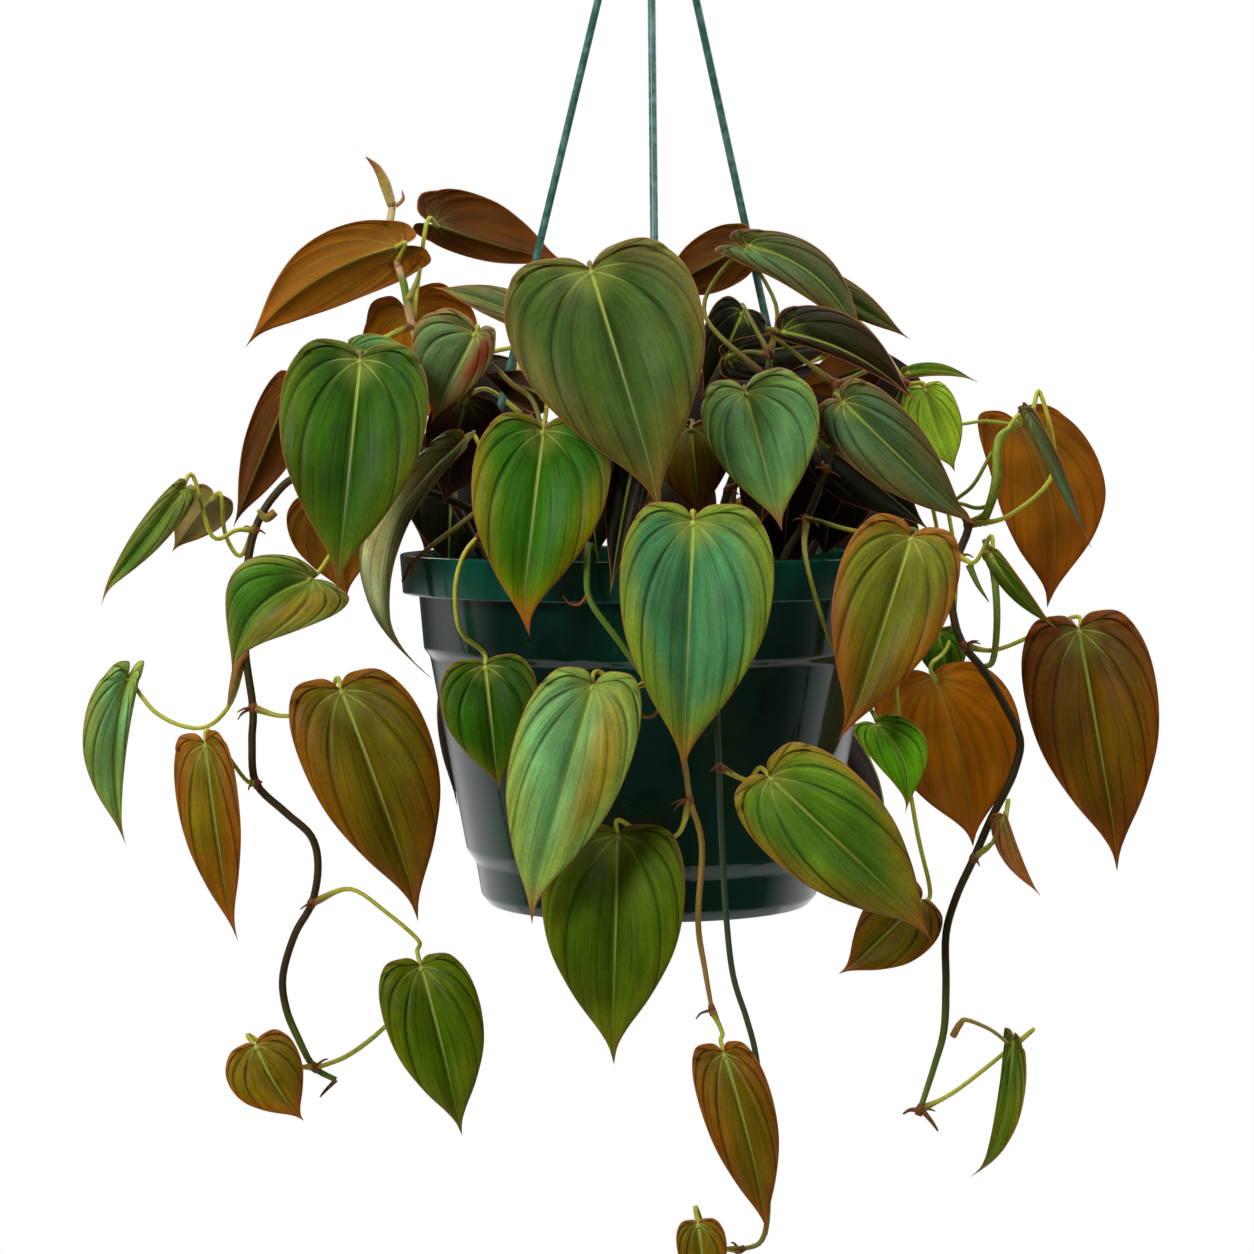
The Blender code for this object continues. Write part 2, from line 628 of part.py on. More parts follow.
def blade_frame(leaf):
    """Works out a blade's place, its real half widths and its skew from how it is seen."""
    heart = seen((*leaf.heart, leaf.depth[0]))
    tip = seen((*leaf.tip, leaf.depth[1]))
    along = (tip - heart).normalized()
    length = (tip - heart).length
    to_eye = (EYE - heart).normalized()
    facing = (to_eye - along * to_eye.dot(along)).normalized()
    rightward = facing.cross(along)
    spin = Matrix.Rotation(math.radians(leaf.turn), 3, along)
    normal = spin @ facing
    across = spin @ rightward
    middle = (leaf.depth[0] * 0.7 + leaf.depth[1] * 0.3)
    edges = []
    for corner in (leaf.left, leaf.right):
        offset = seen((*corner, middle)) - seen((*leaf.heart, middle))
        edges.append((offset.dot(rightward), offset.dot(along)))
    share = max(abs(math.cos(math.radians(leaf.turn))), 0.3)
    (left, left_along), (right, right_along) = edges
    if left > right:
        left, right, left_along, right_along = right, left, right_along, left_along
    skew = EDGE_SKEW * (right_along - left_along) / (right - left)
    halves = [max(-left, 0.25 * (right - left)) / share, max(right, 0.25 * (right - left)) / share]
    if math.cos(math.radians(leaf.turn)) < 0.0:
        halves.reverse()
        skew = -skew
    turned_over = -1.0 if math.cos(math.radians(leaf.turn)) < 0.0 else 1.0
    return Frame(heart, length, along, across, normal, halves[0], halves[1], skew,
                 leaf.hook * turned_over, leaf.sway * turned_over, leaf.arch, math.radians(leaf.fold),
                 leaf.lobe, leaf.full)


def blade_point(frame, sideways, along):
    """Place on the blade: sideways in half widths, along in lengths from heart to tip."""
    half = frame.right if sideways > 0.0 else frame.left
    half *= 1.0 + frame.full * max(0.0, along) ** 2
    shear = frame.skew * sideways * half / frame.length * max(0.0, 1.0 - along)
    reach = along * (frame.lobe if along < 0.0 else 1.0) + shear
    bow = frame.arch * 4.0 * reach * (1.0 - reach)
    curl = frame.hook * ((max(0.0, reach - 0.75) / 0.25) ** 2 - max(0.0, reach))
    curl += frame.sway * 4.0 * reach * (1.0 - reach)
    lift = abs(sideways) * half * math.sin(frame.fold)
    spread = sideways * half * math.cos(frame.fold)
    return (
        frame.heart
        + frame.along * frame.length * reach
        + frame.across * (spread + curl * frame.length)
        + frame.normal * (lift + bow * frame.length)
    )


def blade(frame):
    """A closed heart-shaped blade, split into the same triangles on both faces."""
    columns = 2 if frame.length > LARGE_BLADE else 1
    shape = bmesh.new()
    grids = []
    for face in (0.5, -0.5):
        grids.append(blade_face(shape, frame, columns, frame.normal * BLADE_THICKNESS * face, face > 0))
    for upper, lower in zip(*grids):
        for (a, b), (c, d) in zip(zip(upper, upper[1:]), zip(lower, lower[1:])):
            shape.faces.new((a, c, d))
            shape.faces.new((a, d, b))
    return new_object("blade", shape)


def blade_face(shape, frame, columns, offset, upper):
    """One face of a blade. Returns the edge loops of its two halves, from heart to tip."""
    heart = shape.verts.new(blade_point(frame, 0.0, 0.0) + offset)
    tip = shape.verts.new(blade_point(frame, 0.0, 1.0) + offset)
    rib = {0.0: heart, 1.0: tip}
    edges = []
    for side in (1.0, -1.0):
        rows = [[heart]]
        for sideways, along in HALF_OUTLINE[::2] if frame.length < SMALL_BLADE else HALF_OUTLINE:
            origin = max(0.0, along - VEIN_SLANT * sideways)
            if origin not in rib:
                rib[origin] = shape.verts.new(blade_point(frame, 0.0, origin) + offset)
            row = [rib[origin]]
            for column in range(1, columns + 1):
                share = column / columns
                pillow = 0.05 * frame.length * math.sin(math.pi * share) * sideways
                place = blade_point(frame, side * sideways * share, origin + (along - origin) * share)
                row.append(shape.verts.new(place + offset + frame.normal * pillow))
            rows.append(row)
        rows.append([tip])
        for first, second in zip(rows, rows[1:]):
            stitch(shape, first, second)
        edges.append([row[-1] for row in rows])
    return edges


def stitch(shape, first, second):
    """Fills the strip between two rows that may start at one shared vertex or be one vertex."""
    first = first if len(first) > 1 else first * len(second)
    second = second if len(second) > 1 else second * len(first)
    for a, b, c, d in zip(first, first[1:], second[1:], second):
        for corners in ((a, b, c), (a, c, d)):
            if len(set(corners)) == 3:
                shape.faces.new(corners)


def stalk(start, middle, frame):
    """A leaf stalk from the stem, through its middle points, into the blade from behind."""
    reach = min(STALK_ARRIVAL, 0.4 * (frame.heart - start).length)
    arrive = frame.heart - frame.along * reach * 0.6 - frame.normal * reach * 0.8
    end = blade_point(frame, 0.0, STALK_SINK / frame.length)
    route = [start]
    for point in catmull_rom([start, *middle, arrive, end], 2)[1:-1]:
        if min((point - route[-1]).length, (point - end).length) > STALK_STEP:
            route.append(point)
    return even_tube("stalk", [*route, end], STALK_RADIUS, STALK_SIDES)


def foot_route(foot):
    x, y = foot[0] * MM, foot[1] * MM
    surface = RIM_TOP - SOIL_DROP + SOIL_MOUND
    return [Vector((x, y, RIM_TOP - FOOT_DEPTH)), Vector((x, y, surface + FOOT_RISE))]


def stem_tube(route, radius):
    """A stem through its points, drawn to a growing tip a little past the last of them."""
    tip = route[-1] + (route[-1] - route[-2]).normalized() * GROWING_TIP
    return tube("stem", [*route, tip], [radius] * len(route) + [radius * 0.4], STEM_SIDES)


def stem_parts(stem):
    """The stem's tube, its stalks and its blades, as separate closed solids."""
    path = [seen(place) for place in stem.path]
    parts = [stem_tube(foot_route(stem.foot) + path, stem.radius)]
    for leaf in stem.leaves:
        frame = blade_frame(leaf)
        parts.append(stalk(path[leaf.at], [seen(place) for place in leaf.via], frame))
        parts.append(blade(frame))
    return parts


def fuse(name, parts, look):
    base = parts[0]
    base.name = name
    base.data.materials.append(look)
    apply_boolean(base, "UNION", parts[1:], "MANIFOLD")
    smooth(base, 40.0)
    return base


def back_frame(heart, outward, pitch, length, roll):
    """The frame of a leaf of the plant's back, given by the way its tip points."""
    along = (outward * math.cos(pitch) + Vector((0.0, 0.0, math.sin(pitch)))).normalized()
    across = along.cross(Vector((0.0, 0.0, 1.0))).normalized()
    normal = across.cross(along)
    spin = Matrix.Rotation(roll, 3, along)
    half = length * BACK_WIDTH / 2
    return Frame(heart, length, along, -(spin @ across), spin @ normal, half, half, 0.0,
                 0.0, 0.0, BACK_ARCH, math.radians(BLADE_FOLD), 1.0, 0.0)


def back_stem_parts(spec, draw):
    """A stem of the plant's back: an upright one with crown leaves, or a vine over the rim."""
    outward = at_angle(1.0, spec.bearing, 0.0)
    foot = at_angle(spec.foot, spec.bearing, RIM_TOP)
    above_soil = SOIL_MOUND - SOIL_DROP + FOOT_RISE
    route = [foot + Vector((0.0, 0.0, -FOOT_DEPTH)), foot + Vector((0.0, 0.0, above_soil))]
    joints = [foot + outward * out + Vector((0.0, 0.0, up)) for out, up in spec.joints]
    stalks = []
    if spec.trail:
        route += [foot + outward * out + Vector((0.0, 0.0, up)) for out, up in TRAIL_OVER_RIM]
        for step in range(1, spec.trail + 1):
            sway = at_angle(draw.uniform(-TRAIL_SWAY, TRAIL_SWAY), spec.bearing + 90.0, 0.0)
            last = TRAIL_OVER_RIM[-1]
            out, up = last[0] + TRAIL_STEP[0] * step, last[1] + TRAIL_STEP[1] * step
            joints.append(foot + outward * out + sway + Vector((0.0, 0.0, up)))
            swing = TRAIL_SWING * (1 if step % 2 else -1)
            stalks.append(BackLeaf(swing, step - 1, *TRAIL_STALK, draw.uniform(*TRAIL_PITCH),
                                   draw.uniform(*TRAIL_LENGTH)))
    parts = [stem_tube(route + joints, STEM_RADIUS)]
    for leaf in (*spec.leaves, *stalks):
        parts += back_leaf_parts(joints[leaf.joint], spec.bearing + leaf.swing, leaf, draw)
    return parts


def back_leaf_parts(start, bearing, leaf, draw):
    outward = at_angle(1.0, bearing, 0.0)
    heart = start + outward * leaf.reach + Vector((0.0, 0.0, leaf.rise))
    roll = math.radians(draw.uniform(-BACK_ROLL, BACK_ROLL))
    frame = back_frame(heart, outward, math.radians(leaf.pitch), leaf.length, roll)
    middle = start.lerp(heart, 0.5) + Vector((0.0, 0.0, BACK_STALK_LIFT))
    return [stalk(start, [middle], frame), blade(frame)]


def main():
    clear_scene()
    pot_look = material("pot_plastic", (0.010, 0.055, 0.045), 0.25)
    hanger_look = material("hanger_plastic", (0.025, 0.095, 0.080), 0.3)
    soil_look = material("soil", (0.040, 0.026, 0.018), 0.95)
    leaf_look = material("leaf", (0.075, 0.150, 0.040), 0.6)
    feet = [((stem.foot[0] * MM, stem.foot[1] * MM), stem.radius) for stem in STEMS.values()]
    feet += [(at_angle(spec.foot, spec.bearing, 0.0).xy, STEM_RADIUS) for spec in BACK_STEMS.values()]
    make_pot(pot_look)
    make_soil(soil_look, feet)
    make_hook(hanger_look)
    make_strands(hanger_look)
    for name, stem in STEMS.items():
        fuse(name, stem_parts(stem), leaf_look)
    draw = random.Random(BACK_SEED)
    for name, spec in BACK_STEMS.items():
        fuse(name, back_stem_parts(spec, draw), leaf_look)


if __name__ == "__main__":
    main()
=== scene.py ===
"""Looks of the hanging basket with a trailing, velvet-leaved heart-leaf philodendron.

Every leafy node of the frame is replaced by a fine piece on the same lines: each leaf keeps its
place, size and bend, and gets veins, quilting, a margin and colours, some of them painted shade
and painted highlights. Metres, +Z up; the front of the plant faces -Y. Leaves and stems of the
front are laid out on a front view, seen from EYE with a slight tilt down: a grid whose unit is
FRONT_UNIT at the pot's axis, with x to the right, y down and its middle at VIEW_CENTRE. A place on
it gets its depth as a third number, the world y in millimetres.
"""

import math
import random
from collections import namedtuple

import bpy
import numpy as np
from mathutils import Matrix, Vector, noise


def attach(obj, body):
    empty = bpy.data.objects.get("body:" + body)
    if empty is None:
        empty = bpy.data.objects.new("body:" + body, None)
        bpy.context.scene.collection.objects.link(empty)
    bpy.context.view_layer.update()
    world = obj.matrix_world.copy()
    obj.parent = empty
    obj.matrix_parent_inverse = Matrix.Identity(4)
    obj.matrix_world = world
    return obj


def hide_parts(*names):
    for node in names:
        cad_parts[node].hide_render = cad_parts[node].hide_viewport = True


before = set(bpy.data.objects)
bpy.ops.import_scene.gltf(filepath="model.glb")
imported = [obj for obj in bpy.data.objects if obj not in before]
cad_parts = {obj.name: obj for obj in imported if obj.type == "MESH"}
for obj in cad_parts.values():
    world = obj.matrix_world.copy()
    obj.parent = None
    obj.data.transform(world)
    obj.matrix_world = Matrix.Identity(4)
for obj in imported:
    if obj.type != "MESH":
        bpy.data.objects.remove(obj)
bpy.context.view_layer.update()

MM = 0.001
UP = Vector((0.0, 0.0, 1.0))
WHITE = (1.0, 1.0, 1.0, 1.0)
# Keeps a division from zero, and gives points on the midrib a side
NEARLY_NOTHING = 1e-12
# Turned profiles end at this radius instead of on their axis
AXIS_HOLE = 0.0005

# Hanger, pot and soil, as in the frame
RIM_TOP = -0.377
RIM_RADIUS = 0.1015
POT_HEIGHT = 0.1430
SOIL_DROP = 0.0170
SOIL_MOUND = 0.0040
STRAND_RADIUS = 0.0016

# Stems and stalks
STEM_RADIUS = 0.0020
# The front's stems are drawn thinner than the frame's, by this share
FRONT_STEM_SHARE = 0.82
STEM_TAPER = (1.05, 0.95, 0.7)
STEM_SIDES = 10
STEM_STEPS = 5
STALK_RADIUS = 0.0009
STALK_SIDES = 8
STALK_STEPS = 6
STALK_ARRIVAL = 0.009
STALK_SINK = 0.0016
# A stalk's swelling at its foot and at the blade, as shares of its radius and of its length
SHEATH_SWELL = 0.8
SHEATH_REACH = 0.12
KNEE_SWELL = 0.25
KNEE_REACH = 0.1
FOOT_DEPTH = 0.0320
FOOT_RISE = 0.0020
ROOT_REACH = (0.0030, 0.0065)
ROOT_RADII = (0.00075, 0.00025)
ROOT_SIDES = 6
ROOT_STEPS = 3
# Along a joint: distance from its middle, and its radius as a share of the stem's
JOINT_RING = ((-0.0022, 0.95), (-0.0009, 1.12), (0.0, 1.25), (0.0009, 1.10), (0.0022, 0.95))

# Front view
FRONT_UNIT = 0.0004076
VIEW_CENTRE = 627.0
EYE = Vector((-0.0090, -1.5000, -0.3270))
EYE_TILT = 3.06
PICTURE_WIDTH = 1254
SENSOR_WIDTH = 36.0

# Leaf blades: lengths in metres, the fold in degrees, and shares of a leaf's length or half width
BLADE_THICKNESS = 0.0005
MARGIN_THICKNESS = 0.0002
MARGIN_WIDTH = 0.0060
BLADE_FOLD = 13.0
BLADE_ARCH = 0.07
CROWN = 0.13
QUILT = 0.036
QUILT_POWER = 0.55
RIPPLE = 0.0008
RIPPLES_BETWEEN_VEINS = 3
GROOVE_DEPTH = 0.0006
GROOVE_WIDTH = 0.0014
EDGE_SKEW = 0.15
HALF_ASPECT = 0.42
WIDEST_AT = 0.3
TIP_HOOK_START = 0.75
# Least share of a blade's real width that is taken to be seen, and of its seen width in one half
LEAST_FACING = 0.3
NARROWEST_HALF = 0.25
# Width of the edge's colour, and how much more of it there is in patches
EDGE_BAND = 0.07
EDGE_PATCHES = 0.12

# Half of a leaf's outline, from the stalk round the lobe to the tip: across as a share of the half
# width, and along as a share of the length from the stalk to the tip.
HALF_OUTLINE = (
    (0.00, 0.000),
    (0.10, -0.050),
    (0.30, -0.070),
    (0.68, -0.050),
    (0.94, 0.080),
    (1.00, 0.270),
    (0.88, 0.480),
    (0.56, 0.680),
    (0.20, 0.840),
    (0.06, 0.920),
    (0.00, 1.000),
)
OUTLINE_STEPS = 12
# Where the first row and the side veins end on the outline, as shares of its length from the stalk
FIRST_ROW = 0.015
VEIN_ENDS = (0.20, 0.38, 0.56, 0.73)
# How far a vein bows out from the straight line to its end, by how far down the leaf it ends
VEIN_BOW_AT = (-0.08, 0.00, 0.10, 0.27, 0.50, 0.70, 0.85, 1.00)
VEIN_BOW = (0.00, 0.22, 0.42, 0.58, 0.50, 0.36, 0.20, 0.00)
ROWS_BETWEEN_VEINS = 11
RINGS = 15
# Gap in millimetres that is given to points of stems and stalks, far from any vein or margin
NO_VEINS = 99.0

# Textures: streaks across and along, and cells of the veins' net in a metre
LEAF_STREAKS = (3.4, 1.6)
LEAF_BRUSH = (15.0, 3.2)
STALK_STREAKS = (9.0, 14.0)
NET_CELLS = 360.0
LEAFY_MATERIALS = ("leaf_top", "leaf_underside", "stalk", "stem")

# Leaf colours: the middle of the blade, its edge and its tip
Tone = namedtuple("Tone", "middle edge tip")
TONES = {
    "olive": Tone("#405a1a", "#625e20", "#7c5826"),
    "forest": Tone("#2c5402", "#4c600a", "#6e5c16"),
    "meadow": Tone("#367000", "#747200", "#c0561a"),
    "fern": Tone("#4c8220", "#84903a", "#a8642c"),
    "teal": Tone("#3e7644", "#6e841e", "#a06424"),
    "mint": Tone("#7cb86e", "#88a644", "#a86c3a"),
    "sea": Tone("#568446", "#6a8834", "#94583a"),
    "dusk": Tone("#4c6a3c", "#5a5024", "#6e4420"),
    "haze": Tone("#627e48", "#6e6430", "#7c4c26"),
    # Painted sheen: this tone's pale middle is a highlight on the blade; its edge and tip are the leaf's own
    # colours
    "painted_sheen": Tone("#ccd894", "#5c6430", "#5c3c1c"),
    "moss": Tone("#4c6602", "#5e6c02", "#747008"),
    "shade": Tone("#426c04", "#5c6404", "#6e4a0c"),
    "amber": Tone("#665a04", "#7c4e02", "#944a0e"),
    "pasture": Tone("#64680e", "#86560c", "#9c4410"),
    "orchard": Tone("#547c16", "#84741a", "#a4521a"),
    "bronze": Tone("#786404", "#8c540a", "#9c4814"),
    "brass": Tone("#8e8022", "#96661a", "#9c5220"),
    "copper": Tone("#5e4200", "#744002", "#8c3c0a"),
    "lime": Tone("#528c08", "#60880c", "#7c8424"),
    "sprout": Tone("#a4d236", "#9cc830", "#9c9c34"),
    "blush": Tone("#98622a", "#a05c28", "#984e22"),
    "maroon": Tone("#6c3010", "#682e0c", "#702c0a"),
    # Painted shadow: the next two near-black tones colour leaves deep inside the crown, where there is only
    # shade
    "painted_shadow_olive": Tone("#24260a", "#2a1c06", "#301c06"),
    "painted_shadow_black": Tone("#121602", "#181402", "#241a04"),
    "ember": Tone("#d0820a", "#c8760e", "#a85010"),
    "khaki": Tone("#94824a", "#8a7238", "#7a5a28"),
    "rust": Tone("#a4660a", "#a25a0a", "#a04c08"),
    "umber": Tone("#85560a", "#8c540a", "#8c4a0a"),
    "cocoa": Tone("#5e3606", "#643606", "#643008"),
    # Painted shadow: a near-black brown for undersides deep in the crown's shade
    "painted_shadow_brown": Tone("#2c1804", "#341c06", "#3c2006"),
}
RIB_COLOUR = "#b0c254"
MARGIN_COLOUR = "#b86a3c"
STEM_COLOUR = "#44381a"
GREEN_STEM = "#6a8630"
STALK_COLOUR = "#c0c040"
JOINT_COLOUR = "#7d4a26"
ROOT_COLOUR = "#70401f"

Leaf = namedtuple(
    "Leaf",
    "heart tip left right depth turn at via hook sway arch fold lobe full tone other under",
    defaults=(0.0, -1, (), 0.0, 0.0, BLADE_ARCH, BLADE_FOLD, 1.0, 0.0, "forest", None, "umber"),
)
Stem = namedtuple("Stem", "foot path leaves radius", defaults=(STEM_RADIUS,))

# Heart: where the stalk meets the blade. Left and right: the widest points as seen. Depth: of the
# heart and of the tip. Turn: degrees about the midrib. At: the stem point that the stalk leaves.
# Lobe: how far the lobes reach back past the heart, as a multiple of HALF_OUTLINE's. Full: how much
# wider than HALF_OUTLINE the blade is towards its tip.
# Tone and under: the colours of the upper face and the underside. Other: the upper face's right half.
STEMS = {
    "vine_left": Stem(
        foot=(-58, -30),
        path=((505, 556, -30), (480, 515, -31), (420, 490, -32), (350, 476, -32), (300, 476, -31),
              (274, 496, -30), (255, 530, -31), (246, 580, -32), (245, 647, -34), (253, 708, -35),
              (252, 742, -35), (256, 783, -35), (285, 812, -36), (311, 836, -36), (318, 866, -36),
              (312, 903, -36), (295, 934, -36), (283, 975, -36), (286, 1008, -36), (298, 1038, -36),
              (314, 1067, -36), (336, 1080, -36)),
        leaves=(
            Leaf((313, 579), (232, 682), (256, 570), (345, 623), (-62, -66), at=3, via=((345, 525, -50),),
                 sway=-0.19, full=-0.8, tone="fern", other="brass"),
            Leaf((183, 490), (101, 608), (153, 507), (179, 529), (-48, -40), at=6, hook=0.06,
                 via=((237, 530, -36), (212, 536, -42)), full=-0.3, tone="fern"),
            Leaf((213, 497), (172, 552), (190, 489), (232, 521), (-22, -14), turn=164, at=6, lobe=1.2,
                 via=((240, 556, -30), (225, 533, -26)), under="khaki"),
            Leaf((128, 678), (126, 845), (90, 750), (140, 745), (-20, -24), turn=-24, at=8,
                 via=((231, 702, -32), (201, 728, -27), (155, 712, -22)), sway=-0.12, lobe=1.5,
                 tone="mint"),
            Leaf((205, 745), (238, 941), (181, 804), (245, 806), (-46, -52), turn=20, at=11,
                 via=((244, 778, -38),), hook=0.02, sway=0.02, tone="bronze"),
            Leaf((341, 691), (418, 922), (284, 726), (440, 770), (-55, -58), at=9,
                 via=((285, 716, -38), (325, 706, -42)), hook=-0.02, sway=0.01, tone="amber"),
            Leaf((421, 967), (462, 1136), (374, 991), (482, 1013), (-52, -52), at=15,
                 via=((350, 889, -40), (387, 913, -44), (418, 940, -46)), sway=0.01, tone="moss"),
            Leaf((256, 1046), (304, 1121), (232, 1086), (320, 1076), (-52, -56), at=20,
                 via=((290, 1064, -42),), sway=-0.05, lobe=1.2, tone="bronze"),
        ),
    ),
    "vine_right": Stem(
        foot=(58, -14),
        path=((797, 556, -16), (822, 516, -20), (865, 497, -25), (914, 492, -28), (951, 504, -31),
              (968, 525, -35), (958, 556, -42), (951, 590, -48), (955, 623, -52), (964, 646, -54),
              (984, 671, -55), (1004, 704, -55), (1020, 739, -55), (1015, 769, -55), (1004, 794, -55),
              (990, 821, -55), (974, 858, -55), (957, 895, -55), (946, 934, -55), (946, 984, -55),
              (944, 1030, -55), (934, 1067, -55), (920, 1110, -55)),
        leaves=(
            Leaf((1018, 422), (1047, 608), (976, 471), (1078, 462), (-22, 6), turn=180, at=5,
                 via=((990, 505, -38), (999, 450, -34)), sway=0.10, fold=8, full=0.9, under="rust"),
            Leaf((1030, 412), (1091, 548), (1056, 470), (1073, 462), (-44, -50), turn=70, at=5,
                 via=((1010, 515, -44), (1054, 470, -44)), arch=0.03, sway=0.12, tone="dusk"),
            Leaf((991, 554), (1058, 630), (1010, 589), (1026, 574), (-62, -66), turn=40, at=6,
                 via=((975, 562, -54),), tone="shade"),
            Leaf((1079, 630), (1117, 872), (1022, 697), (1159, 701), (-40, -46), at=9,
                 via=((995, 650, -48), (1036, 634, -40)), hook=-0.02, tone="copper"),
            Leaf((1004, 817), (1040, 896), (998, 838), (1020, 840), (-62, -64), turn=40, at=16,
                 via=((1000, 834, -60),), tone="blush"),
            Leaf((1014, 1042), (970, 1177), (990, 1085), (1020, 1092), (-50, -46), turn=45, at=22,
                 via=((960, 1088, -52),), hook=-0.06, sway=0.18, tone="shade"),
        ),
    ),
    "vine_front": Stem(
        foot=(-22, -68),
        path=((595, 557, -80), (591, 546, -92), (588, 548, -103), (587, 566, -110), (590, 600, -110),
              (618, 640, -108), (648, 682, -106), (671, 715, -105), (684, 760, -104), (690, 800, -104),
              (702, 845, -103), (698, 920, -102), (705, 970, -101), (712, 1010, -100)),
        leaves=(
            Leaf((593, 686), (532, 925), (503, 790), (646, 718), (-118, -120), at=6,
                 via=((628, 688, -106),), hook=0.04, tone="mint", other="brass"),
            Leaf((618, 835), (614, 1065), (541, 889), (687, 879), (-96, -100), at=9,
                 via=((678, 834, -100), (650, 838, -92)), hook=0.01, lobe=0.7, tone="moss"),
            Leaf((724, 1054), (768, 1236), (692, 1090), (778, 1130), (-108, -110), at=13,
                 via=((722, 1032, -100),), sway=0.02, tone="bronze"),
        ),
        radius=0.0015,
    ),
    "vine_middle": Stem(
        foot=(30, -68),
        path=((720, 557, -80), (724, 546, -92), (727, 548, -103), (726, 566, -110), (722, 600, -110),
              (718, 660, -108), (717, 716, -107), (719, 767, -106), (720, 804, -105), (722, 847, -104),
              (726, 914, -103), (733, 975, -102), (747, 1020, -101), (756, 1056, -100),
              (764, 1120, -98), (768, 1200, -98), (762, 1240, -98), (740, 1250, -98)),
        leaves=(
            Leaf((770, 778), (932, 943), (751, 842), (852, 771), (-112, -112), at=7,
                 via=((747, 780, -104),), hook=-0.04, tone="orchard"),
            Leaf((693, 522), (683, 775), (618, 590), (775, 590), (-113, -128), at=3,
                 via=((706, 540, -104),), tone="teal"),
            Leaf((698, 1224), (708, 1302), (676, 1246), (728, 1248), (-108, -110), at=17,
                 via=((712, 1244, -100),), tone="bronze"),
        ),
        radius=0.0015,
    ),
    "stem_front_left": Stem(
        foot=(-44, -58),
        path=((541, 556, -60), (538, 520, -63), (536, 480, -66), (536, 452, -70)),
        leaves=(
            Leaf((543, 431), (530, 638), (473, 483), (614, 483), (-96, -116), at=3, hook=0.05,
                 tone="meadow"),
            Leaf((485, 666), (499, 792), (442, 725), (540, 700), (-92, -96), at=1,
                 via=((480, 536, -88), (457, 575, -98), (459, 628, -98)), tone="forest"),
            Leaf((458, 446), (432, 679), (422, 545), (466, 545), (-52, -56), turn=50, at=2,
                 via=((490, 470, -62),), sway=-0.24, hook=0.16, tone="painted_sheen"),
            Leaf((545, 396), (480, 372), (520, 368), (520, 410), (-44, -30), turn=172, at=2, under="painted_shadow_brown"),
        ),
    ),
    "stem_crown": Stem(
        foot=(-12, -42),
        path=((622, 556, -44), (620, 500, -44), (612, 440, -43), (602, 380, -42), (594, 325, -46)),
        leaves=(
            Leaf((591, 271), (659, 514), (495, 302), (705, 316), (-78, -110), at=4, hook=-0.02,
                 tone="olive"),
            Leaf((640, 434), (610, 596), (608, 490), (656, 480), (-90, -112), at=2, turn=10, tone="painted_shadow_black"),
            Leaf((691, 428), (700, 520), (650, 460), (735, 465), (-50, -62), at=1, via=((660, 440, -44),),
                 tone="amber"),
            Leaf((588, 484), (598, 560), (566, 506), (620, 512), (-30, -36), at=1, tone="painted_shadow_black"),
        ),
    ),
    "stem_crown_right": Stem(
        foot=(24, -30),
        path=((712, 556, -30), (728, 490, -28), (752, 430, -22), (767, 378, -18), (770, 355, -15)),
        leaves=(
            Leaf((746, 393), (782, 532), (695, 402), (824, 424), (-62, -86), at=2, lobe=1.6, tone="sea"),
            Leaf((748, 246), (867, 359), (755, 290), (791, 252), (-4, -26), turn=-8, at=4,
                 via=((776, 305, -2),), sway=0.13, lobe=1.8, tone="dusk"),
            Leaf((745, 246), (652, 296), (709, 231), (720, 296), (14, 8), turn=172, at=3,
                 via=((706, 318, 0), (722, 270, 4)), lobe=1.6, under="cocoa"),
            Leaf((728, 356), (848, 345), (760, 385), (760, 338), (14, 8), turn=-20, at=4,
                 via=((745, 352, -2),), tone="painted_shadow_black"),
            Leaf((770, 470), (760, 528), (738, 485), (782, 480), (-48, -56), at=1, tone="painted_shadow_olive"),
            Leaf((742, 312), (700, 400), (702, 322), (756, 356), (26, 14), turn=-10, at=4,
                 via=((752, 322, 4),), tone="painted_shadow_black"),
            Leaf((792, 450), (782, 576), (736, 500), (846, 496), (-14, -18), at=1, tone="painted_shadow_black"),
        ),
    ),
    "stem_right": Stem(
        foot=(52, -42),
        path=((785, 556, -44), (806, 520, -45), (826, 470, -42), (838, 425, -38), (836, 385, -30)),
        leaves=(
            Leaf((843, 402), (980, 527), (830, 445), (925, 425), (-62, -74), at=3, hook=0.03, tone="dusk"),
            Leaf((782, 332), (918, 404), (826, 368), (842, 326), (-30, -40), turn=-20, at=4, sway=0.06,
                 tone="painted_shadow_olive"),
            Leaf((870, 366), (792, 392), (830, 352), (838, 402), (-4, 8), turn=175, at=4, under="cocoa"),
            Leaf((911, 538), (837, 742), (825, 596), (960, 580), (-92, -112), at=1,
                 via=((815, 520, -58), (862, 532, -76)), hook=-0.04, tone="pasture"),
            Leaf((876, 724), (905, 814), (853, 753), (911, 728), (-92, -96), at=1,
                 via=((806, 560, -104), (830, 640, -104), (862, 700, -98)), sway=0.16, full=-0.4,
                 tone="lime"),
            Leaf((815, 436), (930, 531), (830, 500), (880, 440), (-30, -44), at=2, turn=-10, tone="painted_shadow_black"),
            Leaf((834, 476), (824, 560), (800, 508), (874, 504), (-8, -14), at=2, via=((850, 474, -28),),
                 tone="painted_shadow_black"),
        ),
    ),
    "stem_far_right": Stem(
        foot=(66, 16),
        path=((810, 556, 16), (840, 500, 12), (872, 450, 4), (895, 410, -4), (905, 385, -8)),
        leaves=(
            Leaf((925, 389), (955, 472), (901, 408), (966, 428), (-12, -8), at=4, full=0.3, tone="sprout"),
